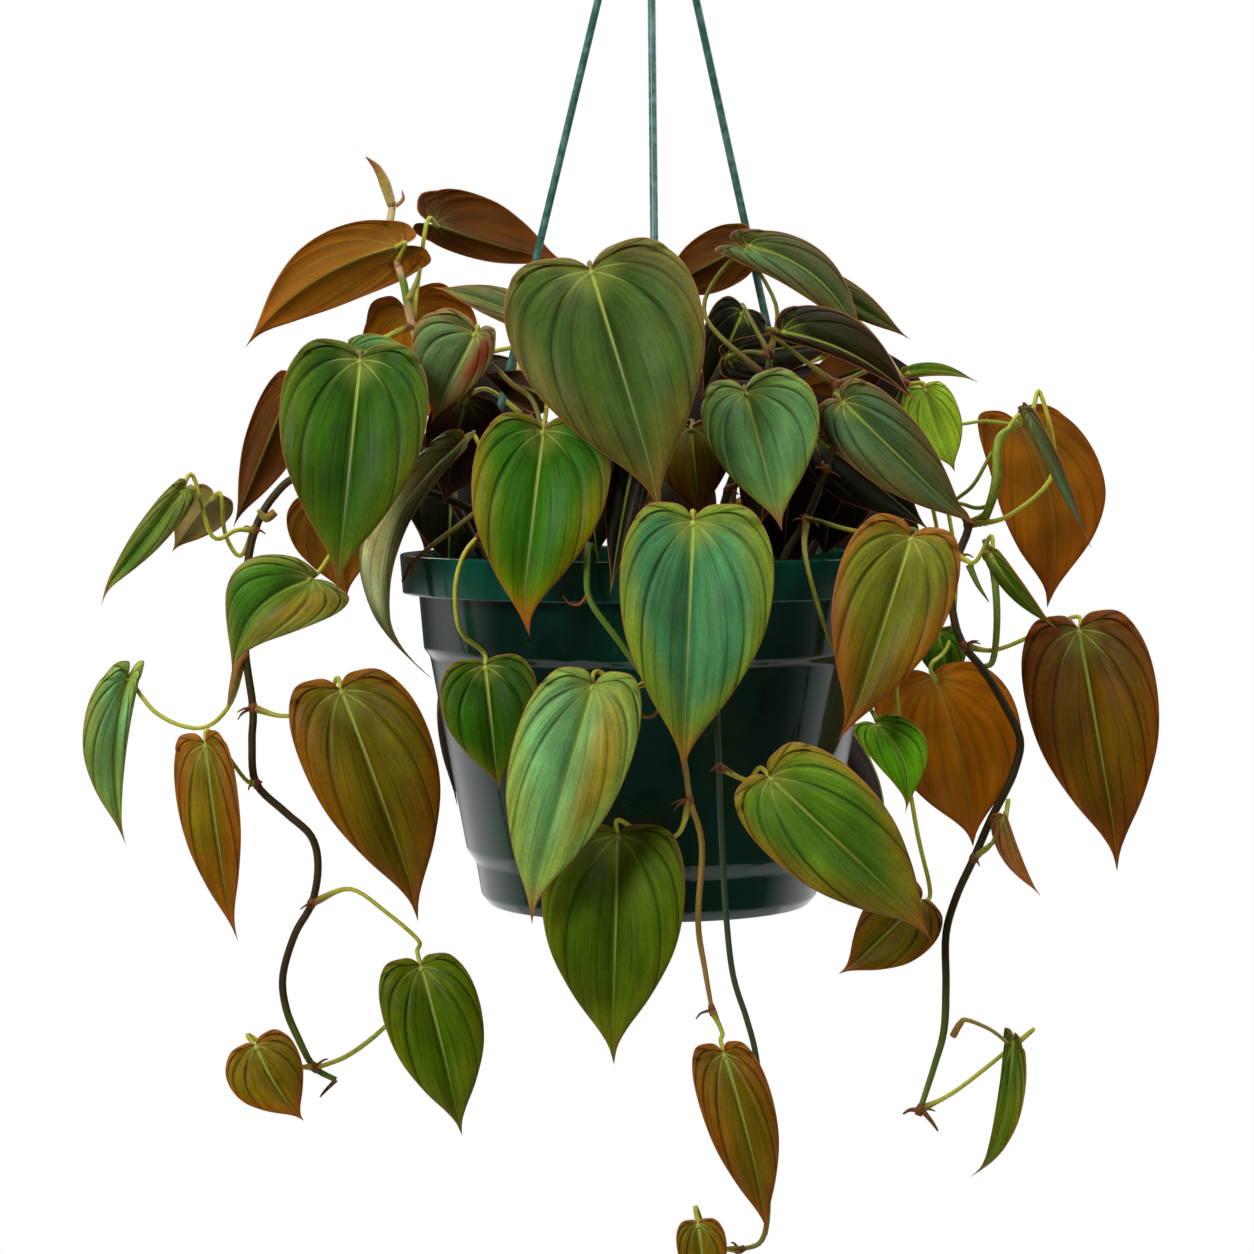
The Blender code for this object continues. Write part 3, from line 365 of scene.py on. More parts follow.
            Leaf((906, 374), (978, 382), (938, 385), (938, 371), (-2, 4), turn=-50, at=4, sway=0.06,
                 tone="shade"),
            Leaf((812, 280), (911, 340), (846, 318), (866, 292), (22, 14), turn=-10, at=4,
                 via=((868, 330, 14),), tone="dusk"),
            Leaf((934, 678), (973, 847), (869, 719), (1017, 736), (-20, -26), turn=180, at=2,
                 via=((935, 480, 10), (955, 560, 4), (950, 640, -6)), sway=0.05, full=0.25, under="ember"),
            Leaf((938, 632), (952, 690), (918, 650), (968, 650), (-4, -4), at=2,
                 via=((925, 490, 14), (940, 560, 14)), tone="shade"),
            Leaf((921, 900), (838, 974), (886, 880), (914, 962), (-48, -52), at=2,
                 via=((905, 540, 0), (896, 680, -24), (915, 820, -38)), hook=-0.04, tone="amber"),
        ),
    ),
    "stem_upper_left": Stem(
        foot=(-54, 14),
        path=((520, 556, 14), (496, 490, 10), (462, 425, 4), (430, 370, 0), (412, 325, -2),
              (404, 285, -2), (397, 262, -2), (389, 232, -2), (392, 203, -2), (381, 178, -3)),
        leaves=(
            Leaf((400, 246), (245, 348), (337, 241), (380, 306), (-8, -20), turn=176, at=6, sway=-0.09,
                 lobe=1.6, under="umber"),
            Leaf((434, 225), (570, 264), (474, 257), (474, 190), (16, 38), turn=172, at=4, lobe=2.0,
                 via=((419, 275, 4),), full=0.3, under="cocoa"),
            Leaf((407, 312), (440, 430), (362, 342), (478, 312), (12, 20), turn=176, at=4, lobe=2.4,
                 under="rust"),
            Leaf((540, 326), (432, 287), (490, 288), (478, 320), (-24, -14), turn=30, at=3,
                 via=((500, 350, -16),), tone="haze"),
            Leaf((475, 334), (431, 424), (402, 352), (492, 360), (-42, -56), at=2, via=((474, 380, -14),),
                 lobe=1.8, tone="haze", other="maroon"),
            Leaf((352, 352), (420, 356), (384, 338), (384, 366), (-26, -22), turn=-30, at=4, tone="sea"),
        ),
    ),
    "stem_left": Stem(
        foot=(-66, -8),
        path=((482, 556, -10), (455, 505, -12), (424, 455, -14), (396, 410, -18), (380, 382, -24)),
        leaves=(
            Leaf((360, 360), (337, 591), (277, 420), (430, 405), (-66, -88), at=4, tone="forest"),
            Leaf((292, 384), (233, 528), (240, 444), (300, 454), (-12, -18), turn=178, at=3, under="cocoa"),
            Leaf((330, 500), (347, 600), (288, 540), (386, 530), (-10, 0), turn=180, at=2,
                 via=((380, 462, -8),), under="umber"),
            Leaf((466, 400), (444, 506), (424, 444), (506, 440), (-34, -44), turn=170, at=2, under="painted_shadow_brown"),
            Leaf((452, 464), (448, 574), (402, 508), (504, 510), (30, 26), at=1, tone="painted_shadow_black"),
        ),
    ),
}

# Back of the plant, about the pot's axis: the stem's bearing in degrees and its foot's distance from
# the axis. Swing: the leaf's bearing from its stem's. Joint: the stem point that its stalk leaves.
# Reach and rise: from there to the heart. Pitch: of the blade, in degrees above level.
BackLeaf = namedtuple("BackLeaf", "swing joint reach rise pitch length")
BackStem = namedtuple("BackStem", "bearing foot joints leaves trail", defaults=(0,))
CROWN_JOINTS = ((0.004, 0.018), (0.008, 0.036), (0.013, 0.054), (0.019, 0.072))
BACK_STEMS = {
    "stem_back_right": BackStem(52.0, 0.052, CROWN_JOINTS, (
        BackLeaf(-26, 0, 0.056, 0.012, -60, 0.064),
        BackLeaf(4, 0, 0.062, 0.008, -56, 0.068),
        BackLeaf(-12, 3, 0.040, 0.010, -34, 0.080),
        BackLeaf(16, 2, 0.044, 0.016, -36, 0.080),
    )),
    "stem_back": BackStem(88.0, 0.050, CROWN_JOINTS, (
        BackLeaf(0, 0, 0.066, 0.010, -60, 0.078),
        BackLeaf(-10, 2, 0.046, 0.014, -38, 0.086),
        BackLeaf(34, 3, 0.036, 0.022, -26, 0.080),
        BackLeaf(172, 3, 0.024, 0.010, -16, 0.074),
    )),
    "stem_back_left": BackStem(138.0, 0.054, CROWN_JOINTS, (
        BackLeaf(-32, 0, 0.058, 0.008, -58, 0.070),
        BackLeaf(-14, 1, 0.050, 0.012, -52, 0.070),
        BackLeaf(4, 2, 0.044, 0.014, -36, 0.082),
        BackLeaf(-46, 3, 0.030, 0.006, -30, 0.078),
    )),
    "vine_back_right": BackStem(66.0, 0.074, (), (), trail=2),
    "vine_back_left": BackStem(110.0, 0.074, (), (), trail=2),
}
# A back vine over the rim, as (out, up) from its foot, then its change at each joint further down
TRAIL_OVER_RIM = ((0.006, -0.004), (0.012, 0.008), (0.024, 0.016), (0.038, 0.010), (0.044, -0.008))
TRAIL_STEP = (0.003, -0.042)
TRAIL_SWAY = 0.006
TRAIL_SWING = 62.0
TRAIL_STALK = (0.026, 0.012)
TRAIL_PITCH = (-82.0, -72.0)
TRAIL_LENGTH = (0.066, 0.080)
BACK_WIDTH = 0.68
BACK_ARCH = 0.08
BACK_ROLL = 10.0
BACK_STALK_LIFT = 0.006
BACK_SEED = 7
BACK_TONES = ("forest", "olive", "dusk", "sea", "bronze", "shade")
# Painted shadow: the back leaves' undersides take the dark shadow tone of the crown's inside
BACK_UNDER = "painted_shadow_brown"

# Stem colours as (share of the stem's length, colour)
DARK_STEM = ((0.0, STEM_COLOUR), (0.85, STEM_COLOUR), (1.0, GREEN_STEM))
STEM_STOPS = {
    "stem_upper_left": (
        (0.00, STEM_COLOUR),
        (0.45, "#6a5a24"),
        (0.53, "#e0b090"),
        (0.57, "#d8a880"),
        (0.60, "#7c9838"),
        (0.65, "#7c9838"),
        (0.69, "#e0b088"),
        (0.74, "#e8d49c"),
        (0.82, "#ecd8a4"),
        (0.90, "#e4c890"),
        (1.00, "#d8c078"),
    ),
    "vine_front": (
        (0.00, "#7c9a34"),
        (0.45, "#6c8c30"),
        (0.60, "#4c5a30"),
        (0.75, "#9a8038"),
        (1.00, "#a8803c"),
    ),
    "vine_middle": (
        (0.00, "#4a5a20"),
        (0.50, "#3c4c38"),
        (0.80, "#4a5a30"),
        (1.00, "#8a8438"),
    ),
}
PALE_JOINTS = {"stem_upper_left": "#d09870"}
# Painted shade: stalks of the stems inside the crown are coloured darker than the others, for the crown's
# shade on them
SHADED_STALK = "#7c7c26"
INNER_STEMS = ("stem_crown", "stem_crown_right", "stem_right", "stem_left")

# Spare stalks, sheaths, roots and the furled leaf, each a route on the front view with its radii in
# millimetres and its colours, from its foot to its end
Shoot = namedtuple("Shoot", "route radii colours")
LIME_SHOOT = ("#8a9a30", "#98a83c")
ROOT_SHOOT = ("#8a5230", "#6a3c20")
SHEATH_SHOOT = ("#a86e38", "#8a9232")
SHOOTS = {
    "stem_upper_left": (
        Shoot(((392, 206, -2), (385, 184, -3), (377, 168, -4), (366, 157, -6)),
              (1.9, 2.3, 1.6, 0.25), ("#c0b060", "#b8a050", "#a87838", "#8a4e24")),
        Shoot(((396, 206, -4), (403, 199, -5), (402, 190, -6)), (0.9, 0.8, 0.2), ("#c89068", "#b87a50")),
        Shoot(((408, 300, -6), (416, 283, -7), (420, 268, -8)), (1.4, 1.0, 0.3), ("#b8a858", "#98a040")),
    ),
    "stem_front_left": (
        Shoot(((478, 357, -28), (494, 366, -38), (512, 384, -50), (532, 400, -62), (543, 431, -92)),
              (0.8, 0.9, 1.1, 1.1, 1.0), ("#5a5c14", "#6c5c18", "#5c4a16", "#6a7220")),
        Shoot(((486, 500, -66), (470, 517, -66), (446, 535, -64), (424, 552, -60), (410, 566, -58),
               (402, 582, -58)),
              (1.0, 1.1, 1.0, 0.9, 1.0, 0.4), ("#5c6418", "#6a5c18", "#6a4416", "#5c3210")),
        Shoot(((479, 534, -88), (473, 546, -91), (464, 560, -94)), (1.1, 1.4, 0.8), ("#5a3414", "#6a4018")),
    ),
    "vine_right": (
        Shoot(((983, 525, -38), (996, 484, -40), (999, 440, -36), (1019, 423, -28)),
              (1.6, 2.1, 1.9, 1.0), LIME_SHOOT),
        Shoot(((969, 565, -44), (978, 585, -46), (989, 602, -47)), (1.5, 1.0, 0.2), ("#6c8a2c", "#7a6a2c")),
        Shoot(((985, 540, -38), (994, 575, -44), (997, 620, -48), (993, 660, -52), (983, 667, -54)),
              (1.3, 1.5, 1.4, 1.3, 1.0), ("#6c8a2c", "#8a9232")),
        Shoot(((990, 506, -36), (976, 508, -36), (962, 504, -36), (951, 504, -31)),
              (0.9, 0.8, 0.8), LIME_SHOOT),
        Shoot(((992, 452, -34), (974, 484, -33), (958, 498, -32), (951, 504, -31)),
              (0.8, 0.8, 0.7), LIME_SHOOT),
        Shoot(((1012, 424, -30), (985, 421, -22), (962, 424, -16), (948, 422, -10)),
              (0.7, 0.7, 0.6), LIME_SHOOT),
        Shoot(((953, 1036, -54), (960, 1024, -56), (967, 1020, -57), (991, 1030, -54), (1010, 1045, -50)),
              (1.5, 1.4, 0.9, 0.8, 0.8), ("#a8703c", "#b09a48", "#b0aa5a")),
        Shoot(((975, 857, -56), (990, 846, -60), (1004, 818, -62)), (0.9, 0.8, 0.7), LIME_SHOOT),
        Shoot(((920, 1110, -55), (910, 1110, -56), (903, 1114, -57)), (1.2, 0.8, 0.4), ROOT_SHOOT),
        Shoot(((922, 1110, -55), (932, 1122, -56), (938, 1131, -57)), (1.2, 0.8, 0.4), ROOT_SHOOT),
    ),
    "vine_left": (
        Shoot(((316, 1068, -36), (345, 1057, -40), (370, 1040, -46), (388, 1024, -50)),
              (1.0, 1.0, 1.0, 0.9), ("#a8a43c", "#98a83c")),
        Shoot(((275, 512, -32), (266, 518, -33), (258, 510, -34)), (1.7, 1.9, 0.8), SHEATH_SHOOT),
        Shoot(((247, 652, -35), (238, 664, -36), (232, 690, -36), (229, 704, -33)),
              (1.7, 1.8, 1.4, 0.8), ("#b07038", "#a8783c", "#98903a")),
        Shoot(((336, 1080, -36), (326, 1090, -36), (320, 1097, -36)), (1.0, 0.7, 0.3), ROOT_SHOOT),
    ),
    "vine_front": (
        Shoot(((588, 594, -110), (580, 604, -111), (570, 604, -111), (563, 596, -112)),
              (0.7, 0.6, 0.4, 0.3), ("#a05c28", "#803e18")),
        Shoot(((628, 690, -106), (638, 712, -107), (652, 716, -107), (664, 700, -107)),
              (0.8, 0.8, 0.7, 0.6), ("#8a8a34", "#a8783c")),
    ),
}

# Hanger, pot and hook, as in the frame
STRAND_TOP_RADIUS = 0.0024
STRAND_TOP = -0.0665
STRAND_BEND = -0.0760
STRAND_ANGLES = {"front": -88.2, "right": 36.0, "left": 150.8}
STRAND_END = ((0.0, 0.0005), (0.0, -0.0065), (-0.0022, -0.0087), (-0.0052, -0.0083), (-0.0066, -0.0053))
STRAND_ENTRY = (-0.0006, 0.0030)
# Shares of a strand's straight run at which it has points
STRAND_STRAIGHT = (0.02, 0.04, 0.5, 0.96)
STRAND_SIDES = 14
HOOK_ROD = 0.0020
HOOK_INNER = 0.0140
HOOK_MOUTH = (0.0010, 0.0100)
HOOK_NECK = ((0.0125, -0.0270), (0.0040, -0.0370), (0.0, -0.0460))
HOOK_TURN = 15
HOOK_SIDES = 16
HOOK_STEPS = 4
COLLAR_TOP = -0.0560
COLLAR_BOTTOM = -0.0740
COLLAR_WALL = ((0.0060, COLLAR_BOTTOM), (0.0064, -0.0734), (0.00512, -0.0590), (0.00352, COLLAR_TOP))
COLLAR_CORNER = 0.0006
COLLAR_SIDES = 40
RIM_BAND = 0.0160
RIM_EASE = 0.0006
WALL = 0.0018
WALL_OUTSIDE = (
    (0.0950, 0.0024),
    (0.0918, 0.0385),
    (0.0894, 0.0415),
    (0.0746, 0.1200),
    (0.0730, 0.1225),
    (0.0708, 0.1255),
    (0.0685, 0.1390),
    (0.0650, POT_HEIGHT),
    (0.0560, POT_HEIGHT),
    (0.0545, POT_HEIGHT - 0.0020),
    (0.0, POT_HEIGHT - 0.0020),
)
WALL_INSIDE = (
    (0.0930, 0.0),
    (0.0899, 0.0385),
    (0.0875, 0.0415),
    (0.0728, 0.1190),
    (0.0688, 0.1250),
    (0.0640, 0.1388),
    (0.0, 0.1388),
)
POT_CORNER = 0.0011
POT_SIDES = 144
LUG_RADIUS = 0.0878
LUG_DROP = 0.0020
LUG_THICKNESS = 0.0030
LUG_HOLE = 0.0022
LUG_OUTSIDE = 0.0058
LUG_SIDES = 32

# Potting mix, with its lumps as (scale, height) and its loose bits of bark
SOIL_SEED = 3
SOIL_GAP = 0.0004
SOIL_DEPTH = 0.0300
SOIL_TAPER = 0.0040
SOIL_RINGS = 26
SOIL_SIDES = 96
SOIL_BULGE = 0.7
SOIL_LUMPS = ((170.0, 0.0022), (520.0, 0.0012))
# How far out the lumps and the bits reach, as shares of the soil's radius
LUMPS_REACH = 0.985
BARK_REACH = 0.96
BARK_BITS = 620
BARK_SIZE = (0.0011, 0.0030)
BARK_SHAPE = (1.5, 0.8, 0.5)
BARK_RISE = (-0.0005, 0.0008)
BARK_TILT = (-0.5, 0.5)
BARK_CORNER = (0.6, 1.1)
BLOCK_CORNERS = (
    (-1, -1, -1), (1, -1, -1), (1, 1, -1), (-1, 1, -1),
    (-1, -1, 1), (1, -1, 1), (1, 1, 1), (-1, 1, 1),
)
BLOCK_FACES = ((0, 3, 2, 1), (4, 5, 6, 7), (0, 1, 5, 4), (1, 2, 6, 5), (2, 3, 7, 6), (3, 0, 4, 7))

# Stage and lights
FLOOR_Z = -1.45
FLOOR_RADIUS = 1.2
FLOOR_THICKNESS = 0.01
FLOOR_SIDES = 96
WORLD_FRONT = 0.06
WORLD_BACK = 1.00
WORLD_ABOVE = 0.06
# The world's light changes between these y, and between these z, of a ray's direction
WORLD_SIDES = (-0.2, 0.6)
WORLD_HORIZON = (-0.22, -0.10)
# Name, place, aim, size in metres and power in watts
LIGHTS = (
    ("key", (-0.95, -1.30, 0.50), (0.0, 0.0, -0.42), (0.7, 0.7), 22.0),
    ("fill", (1.15, -1.10, 0.45), (0.0, 0.0, -0.45), (0.6, 0.6), 6.0),
    ("top", (0.10, 0.10, 1.10), (0.0, 0.0, -0.40), (1.2, 1.2), 14.0),
    ("back_left", (-0.90, 1.30, 0.50), (0.0, 0.0, -0.42), (0.9, 0.9), 12.0),
    ("back_right", (1.30, 1.00, 0.50), (0.0, 0.0, -0.42), (0.9, 0.9), 12.0),
)


def linear(code):
    """A hexadecimal colour as linear red, green and blue."""
    shades = [int(code[at:at + 2], 16) / 255.0 for at in (1, 3, 5)]
    return tuple(s / 12.92 if s <= 0.04045 else ((s + 0.055) / 1.055) ** 2.4 for s in shades)


def smoothstep(low, high, value):
    """Rises smoothly from 0 at low to 1 at high."""
    share = np.clip((value - low) / (high - low), 0.0, 1.0)
    return share * share * (3.0 - 2.0 * share)


def hump(share):
    """0 at both ends of 0..1, and 1 in the middle."""
    return 4.0 * share * (1.0 - share)


def at_angle(radius, degrees, z):
    angle = math.radians(degrees)
    return Vector((radius * math.cos(angle), radius * math.sin(angle), z))


def catmull_rom(points, per_span):
    """A smooth run through the points, with per_span steps between each two."""
    points = np.asarray([tuple(point) for point in points], float)
    ends = np.vstack([points[0] * 2 - points[1], points, points[-1] * 2 - points[-2]])
    run = []
    for before, start, end, after in zip(ends, ends[1:], ends[2:], ends[3:]):
        for step in range(per_span):
            t = step / per_span
            run.append(0.5 * (
                start * 2
                + (end - before) * t
                + (before * 2 - start * 5 + end * 4 - after) * t * t
                + (start * 3 - before - end * 3 + after) * t * t * t
            ))
    run.append(points[-1])
    return np.array(run)


def seen(place):
    """World place of a front-view point (column, row, depth in millimetres)."""
    column, row, depth = place
    right = (column - VIEW_CENTRE) * FRONT_UNIT
    up = (VIEW_CENTRE - row) * FRONT_UNIT
    ray = Matrix.Rotation(-math.radians(EYE_TILT), 3, "X") @ Vector((right, -EYE.y, up))
    return EYE + ray * ((depth * MM - EYE.y) / ray.y)


def skin(rings, sides, closed=False):
    """Faces between rings of points. The two ends are capped, or joined where closed."""
    faces = []
    for ring in range(rings if closed else rings - 1):
        low = ring * sides
        high = (ring + 1) % rings * sides
        for step in range(sides):
            after = (step + 1) % sides
            faces.append((low + step, low + after, high + after, high + step))
    if not closed:
        faces.append(tuple(range(sides))[::-1])
        faces.append(tuple(range((rings - 1) * sides, rings * sides)))
    return faces


def tube(points, radii, sides):
    """Points and faces of a closed tube along points, with one radius or one for each of them."""
    points = np.asarray(points, float)
    radii = np.broadcast_to(radii, (len(points),))
    tangents = np.gradient(points, axis=0)
    tangents /= np.linalg.norm(tangents, axis=1, keepdims=True)
    side = np.array(Vector(tangents[0]).orthogonal().normalized())
    angles = np.linspace(0.0, 2.0 * np.pi, sides, endpoint=False)[:, None]
    rings = []
    for point, radius, tangent in zip(points, radii, tangents):
        side = side - tangent * (side @ tangent)
        side /= np.linalg.norm(side)
        across = np.cross(tangent, side)
        rings.append(point + radius * (np.cos(angles) * side + np.sin(angles) * across))
    return np.vstack(rings), skin(len(rings), sides)


class Piece:
    """Collects the mesh of one leafy piece: points, faces, their materials and point attributes."""

    def __init__(self, node, radius):
        self.node = node
        self.radius = radius
        self.points = []
        self.tints = []
        self.grains = []
        self.gaps = []
        self.faces = []
        self.slots = []
        self.count = 0

    def add(self, points, faces, material, tints, grains, gaps=NO_VEINS):
        """Adds points with their attributes, and faces that count from the first of them."""
        total = len(points)
        self.points.append(points)
        self.tints.append(np.broadcast_to(tints, (total, 3)))
        self.grains.append(grains)
        self.gaps.append(np.broadcast_to(gaps, (total, 3)))
        self.add_faces(faces, self.count, material)
        self.count += total

    def add_faces(self, faces, first, material):
        self.faces += [[index + first for index in face] for face in faces]
        self.slots += [LEAFY_MATERIALS.index(material)] * len(faces)

    def build(self, looks):
        """Makes the object and links it to the scene."""
        mesh = bpy.data.meshes.new(self.node + "_fine")
        mesh.from_pydata(np.vstack(self.points).tolist(), [], self.faces)
        mesh.polygons.foreach_set("material_index", self.slots)
        tint = mesh.attributes.new("tint", "FLOAT_COLOR", "POINT")
        colours = np.hstack([np.vstack(self.tints), np.ones((self.count, 1))])
        tint.data.foreach_set("color", colours.ravel())
        for name, rows in (("grain", self.grains), ("gaps", self.gaps)):
            layer = mesh.attributes.new(name, "FLOAT_VECTOR", "POINT")
            layer.data.foreach_set("vector", np.vstack(rows).ravel())
        mesh.shade_smooth()
        for name in LEAFY_MATERIALS:
            mesh.materials.append(looks[name])
        return linked(mesh)


def linked(mesh):
    """An object of the mesh's name that is in the scene."""
    made = bpy.data.objects.new(mesh.name, mesh)
    bpy.context.scene.collection.objects.link(made)
    return made


# The blade's mesh, the same for every leaf


def row_shares():
    """Shares of the outline's length at which the blade's rows end, and the vein count there."""
    marks = [FIRST_ROW, *VEIN_ENDS, 1.0]
    shares = []
    counts = []
    for index, (first, second) in enumerate(zip(marks, marks[1:])):
        for step in range(ROWS_BETWEEN_VEINS):
            part = step / ROWS_BETWEEN_VEINS
            shares.append(first + (second - first) * part)
            counts.append(index + part)
    return np.array(shares + [1.0]), np.array(counts + [float(len(marks) - 1)])


def vein_bows(ends):
    """Curves from the heart to the outline's points, bowed outward as the veins are."""
    flat = ends * (HALF_ASPECT, 1.0)
    length = np.linalg.norm(flat, axis=1, keepdims=True)
    outward = np.stack([flat[:, 1], -flat[:, 0]], axis=1) / length
    bow = np.interp(ends[:, 1], VEIN_BOW_AT, VEIN_BOW)[:, None]
    bend = flat / 2 + outward * bow * length
    reach = np.linspace(0.0, 1.0, RINGS + 1)[1:, None, None]
    curve = 2 * (1 - reach) * reach * bend + reach * reach * flat
    return curve / (HALF_ASPECT, 1.0)


def half_faces(lines, mirrored):
    """Faces of one half: a fan round the heart, and quads between its rings."""
    faces = []
    for row in range(len(lines[0]) - 1):
        faces.append((0, lines[0][row], lines[0][row + 1]))
        for inner, outer in zip(lines, lines[1:]):
            faces.append((inner[row], outer[row], outer[row + 1], inner[row + 1]))
    return faces if mirrored else [face[::-1] for face in faces]


Grid = namedtuple("Grid", "across along reach count faces border outline veins")


def blade_grid():
    """Rows of points along the veins: heart first, then ring by ring, right half and left half."""
    outline = catmull_rom(HALF_OUTLINE, OUTLINE_STEPS)
    steps = np.linalg.norm(np.diff(outline * (HALF_ASPECT, 1.0), axis=0), axis=1)
    length = np.concatenate([[0.0], np.cumsum(steps)]) / steps.sum()
    shares, counts = row_shares()
    ends = np.stack([np.interp(shares, length, outline[:, axis]) for axis in (0, 1)], axis=1)
    rings = vein_bows(ends)
    points = [(0.0, 0.0, 0.0, counts[-1])]
    right_lines = []
    left_lines = []
    for number, ring in enumerate(rings, 1):
        for side, lines in ((1, right_lines), (-1, left_lines)):
            # The last row lies on the midrib, where the left half shares the right half's points
            own = len(ring) if side == 1 else len(ring) - 1
            line = list(range(len(points), len(points) + own))
            points += [(side * ring[row, 0], ring[row, 1], number / RINGS, counts[row]) for row in range(own)]
            lines.append(line if side == 1 else line + [right_lines[-1][-1]])
    faces = half_faces(right_lines, False) + half_faces(left_lines, True)
    border = [0] + [line[0] for line in right_lines] + right_lines[-1][1:]
    border += left_lines[-1][-2::-1] + [line[0] for line in left_lines[-2::-1]]
    vein_rows = [np.argmin(abs(shares - share)) for share in VEIN_ENDS]
    veins = [np.vstack([[0.0, 0.0], rings[:, row]]) for row in vein_rows]
    return Grid(*np.array(points).T, faces, border, outline, veins)


Spot = namedtuple(
    "Spot", "heart length along across normal left right skew hook sway arch fold lobe full"
)


def front_spot(leaf):
    """Works out a blade's place, its real half widths and its skew from how it is seen."""
    heart = seen((*leaf.heart, leaf.depth[0]))
    tip = seen((*leaf.tip, leaf.depth[1]))
    along = (tip - heart).normalized()
    to_eye = (EYE - heart).normalized()
    facing = (to_eye - along * to_eye.dot(along)).normalized()
    rightward = facing.cross(along)
    middle = leaf.depth[0] * (1.0 - WIDEST_AT) + leaf.depth[1] * WIDEST_AT
    edges = []
    for corner in (leaf.left, leaf.right):
        offset = seen((*corner, middle)) - seen((*leaf.heart, middle))
        edges.append((offset.dot(rightward), offset.dot(along)))
    (left, left_along), (right, right_along) = sorted(edges)
    turn = math.radians(leaf.turn)
    facing_share = max(abs(math.cos(turn)), LEAST_FACING)
    halves = [max(half, NARROWEST_HALF * (right - left)) / facing_share for half in (-left, right)]
    skew = EDGE_SKEW * (right_along - left_along) / (right - left)
    # A leaf that is turned over shows its underside, with its halves and bends the other way
    sense = -1.0 if math.cos(turn) < 0.0 else 1.0
    if sense < 0.0:
        halves.reverse()
    spin = Matrix.Rotation(turn, 3, along)
    return Spot(heart, (tip - heart).length, along, spin @ rightward, spin @ facing, *halves,
                skew * sense, leaf.hook * sense, leaf.sway * sense, leaf.arch,
                math.radians(leaf.fold), leaf.lobe, leaf.full)


def half_widths(spot, across):
    return np.where(across > 0.0, spot.right, spot.left)


def blade_points(spot, across, along):
    """Places on the blade: across in half widths, along in lengths from heart to tip."""
    half = half_widths(spot, across) * (1.0 + spot.full * np.maximum(0.0, along) ** 2)
    shear = spot.skew * across * half / spot.length * np.maximum(0.0, 1.0 - along)
    reach = along * np.where(along < 0.0, spot.lobe, 1.0) + shear
    hooked = np.maximum(0.0, reach - TIP_HOOK_START) / (1.0 - TIP_HOOK_START)
    curl = spot.hook * (hooked ** 2 - np.maximum(0.0, reach)) + spot.sway * hump(reach)
    lift = abs(across) * half * math.sin(spot.fold)
    spread = across * half * math.cos(spot.fold)
    return (
        np.array(spot.heart)
        + np.outer(spot.length * reach, spot.along)
        + np.outer(spread + curl * spot.length, spot.across)
        + np.outer(lift + spot.arch * hump(reach) * spot.length, spot.normal)
    )


def relief(spot, grid, middle_gap):
    """Height of the blade's crown, of its quilting and finer ripples, less the midrib's groove."""
    width = np.interp(grid.along, grid.outline[:, 1], grid.outline[:, 0], left=1.0)
    inward = np.clip(abs(grid.across) / np.maximum(width, 0.05), 0.0, 1.0)
    crown = CROWN * spot.length * abs(grid.across) * (1.0 - inward)
    spread = smoothstep(0.05, 0.40, grid.reach) * (1.0 - 0.7 * smoothstep(0.7, 1.0, grid.reach))
    bulge = abs(np.sin(np.pi * grid.count)) ** QUILT_POWER
    pillows = QUILT * half_widths(spot, grid.across) * bulge * spread
    waves = np.cos(2.0 * np.pi * RIPPLES_BETWEEN_VEINS * grid.count)
    ripple = RIPPLE * spot.length * waves * spread
    fade = 1.0 - 0.8 * np.clip(grid.along, 0.0, 1.0)
    groove = GROOVE_DEPTH * np.exp(-(middle_gap / GROOVE_WIDTH) ** 2) * fade
    return crown + pillows + ripple - groove


def gap_to(points, line):
    """Distance from each point to a run of straight pieces."""
    best = np.full(len(points), np.inf)
    for start, end in zip(line, line[1:]):
        piece = end - start
        size = max(piece @ piece, NEARLY_NOTHING)
        share = np.clip((points - start) @ piece / size, 0.0, 1.0)
        offset = points - start - share[:, None] * piece
        best = np.minimum(best, np.einsum("ij,ij->i", offset, offset))
    return np.sqrt(best)


def blade_gaps(spot, grid):
    """Distances over the flat blade from each point to the side veins, the midrib and the edge."""
    flat = np.stack([grid.across * half_widths(spot, grid.across), grid.along * spot.length], axis=1)
    sizes = ((spot.right, spot.length), (-spot.left, spot.length))
    side_gap = np.min([gap_to(flat, vein * size) for vein in grid.veins for size in sizes], axis=0)
    edge_gap = np.min([gap_to(flat, grid.outline * size) for size in sizes], axis=0)
    return side_gap, abs(flat[:, 0]), edge_gap


def blade_tints(spot, colours, grid, edge_gap, face_up, draw):
    """Colours of a blade's points: the middle's, the edge's and the tip's, run into each other."""
    tone, other, under = colours
    waves = grid.along * draw.uniform(5.0, 9.0) + grid.across * draw.uniform(-3.0, 3.0)
    patches = 0.5 + 0.5 * np.sin(waves + draw.uniform(0.0, 6.0))
    band = spot.length * (EDGE_BAND + EDGE_PATCHES * patches)
    to_edge = 1.0 - smoothstep(0.0, 1.0, edge_gap / band)
    to_edge = np.maximum(to_edge, 0.5 * smoothstep(0.55, 0.90, grid.along))
    to_tip = smoothstep(0.78, 0.98, grid.along)
    middle, edge, tip = (np.array(linear(code)) for code in TONES[tone if face_up else under])
    if other and face_up:
        right = smoothstep(-0.1, 0.5, grid.across)[:, None]
        middle = middle * (1.0 - right) + np.array(linear(TONES[other].middle)) * right
    tints = middle + (edge - middle) * to_edge[:, None]
    tints = tints + (tip - tints) * to_tip[:, None]
    return tints * draw.uniform(0.92, 1.08)


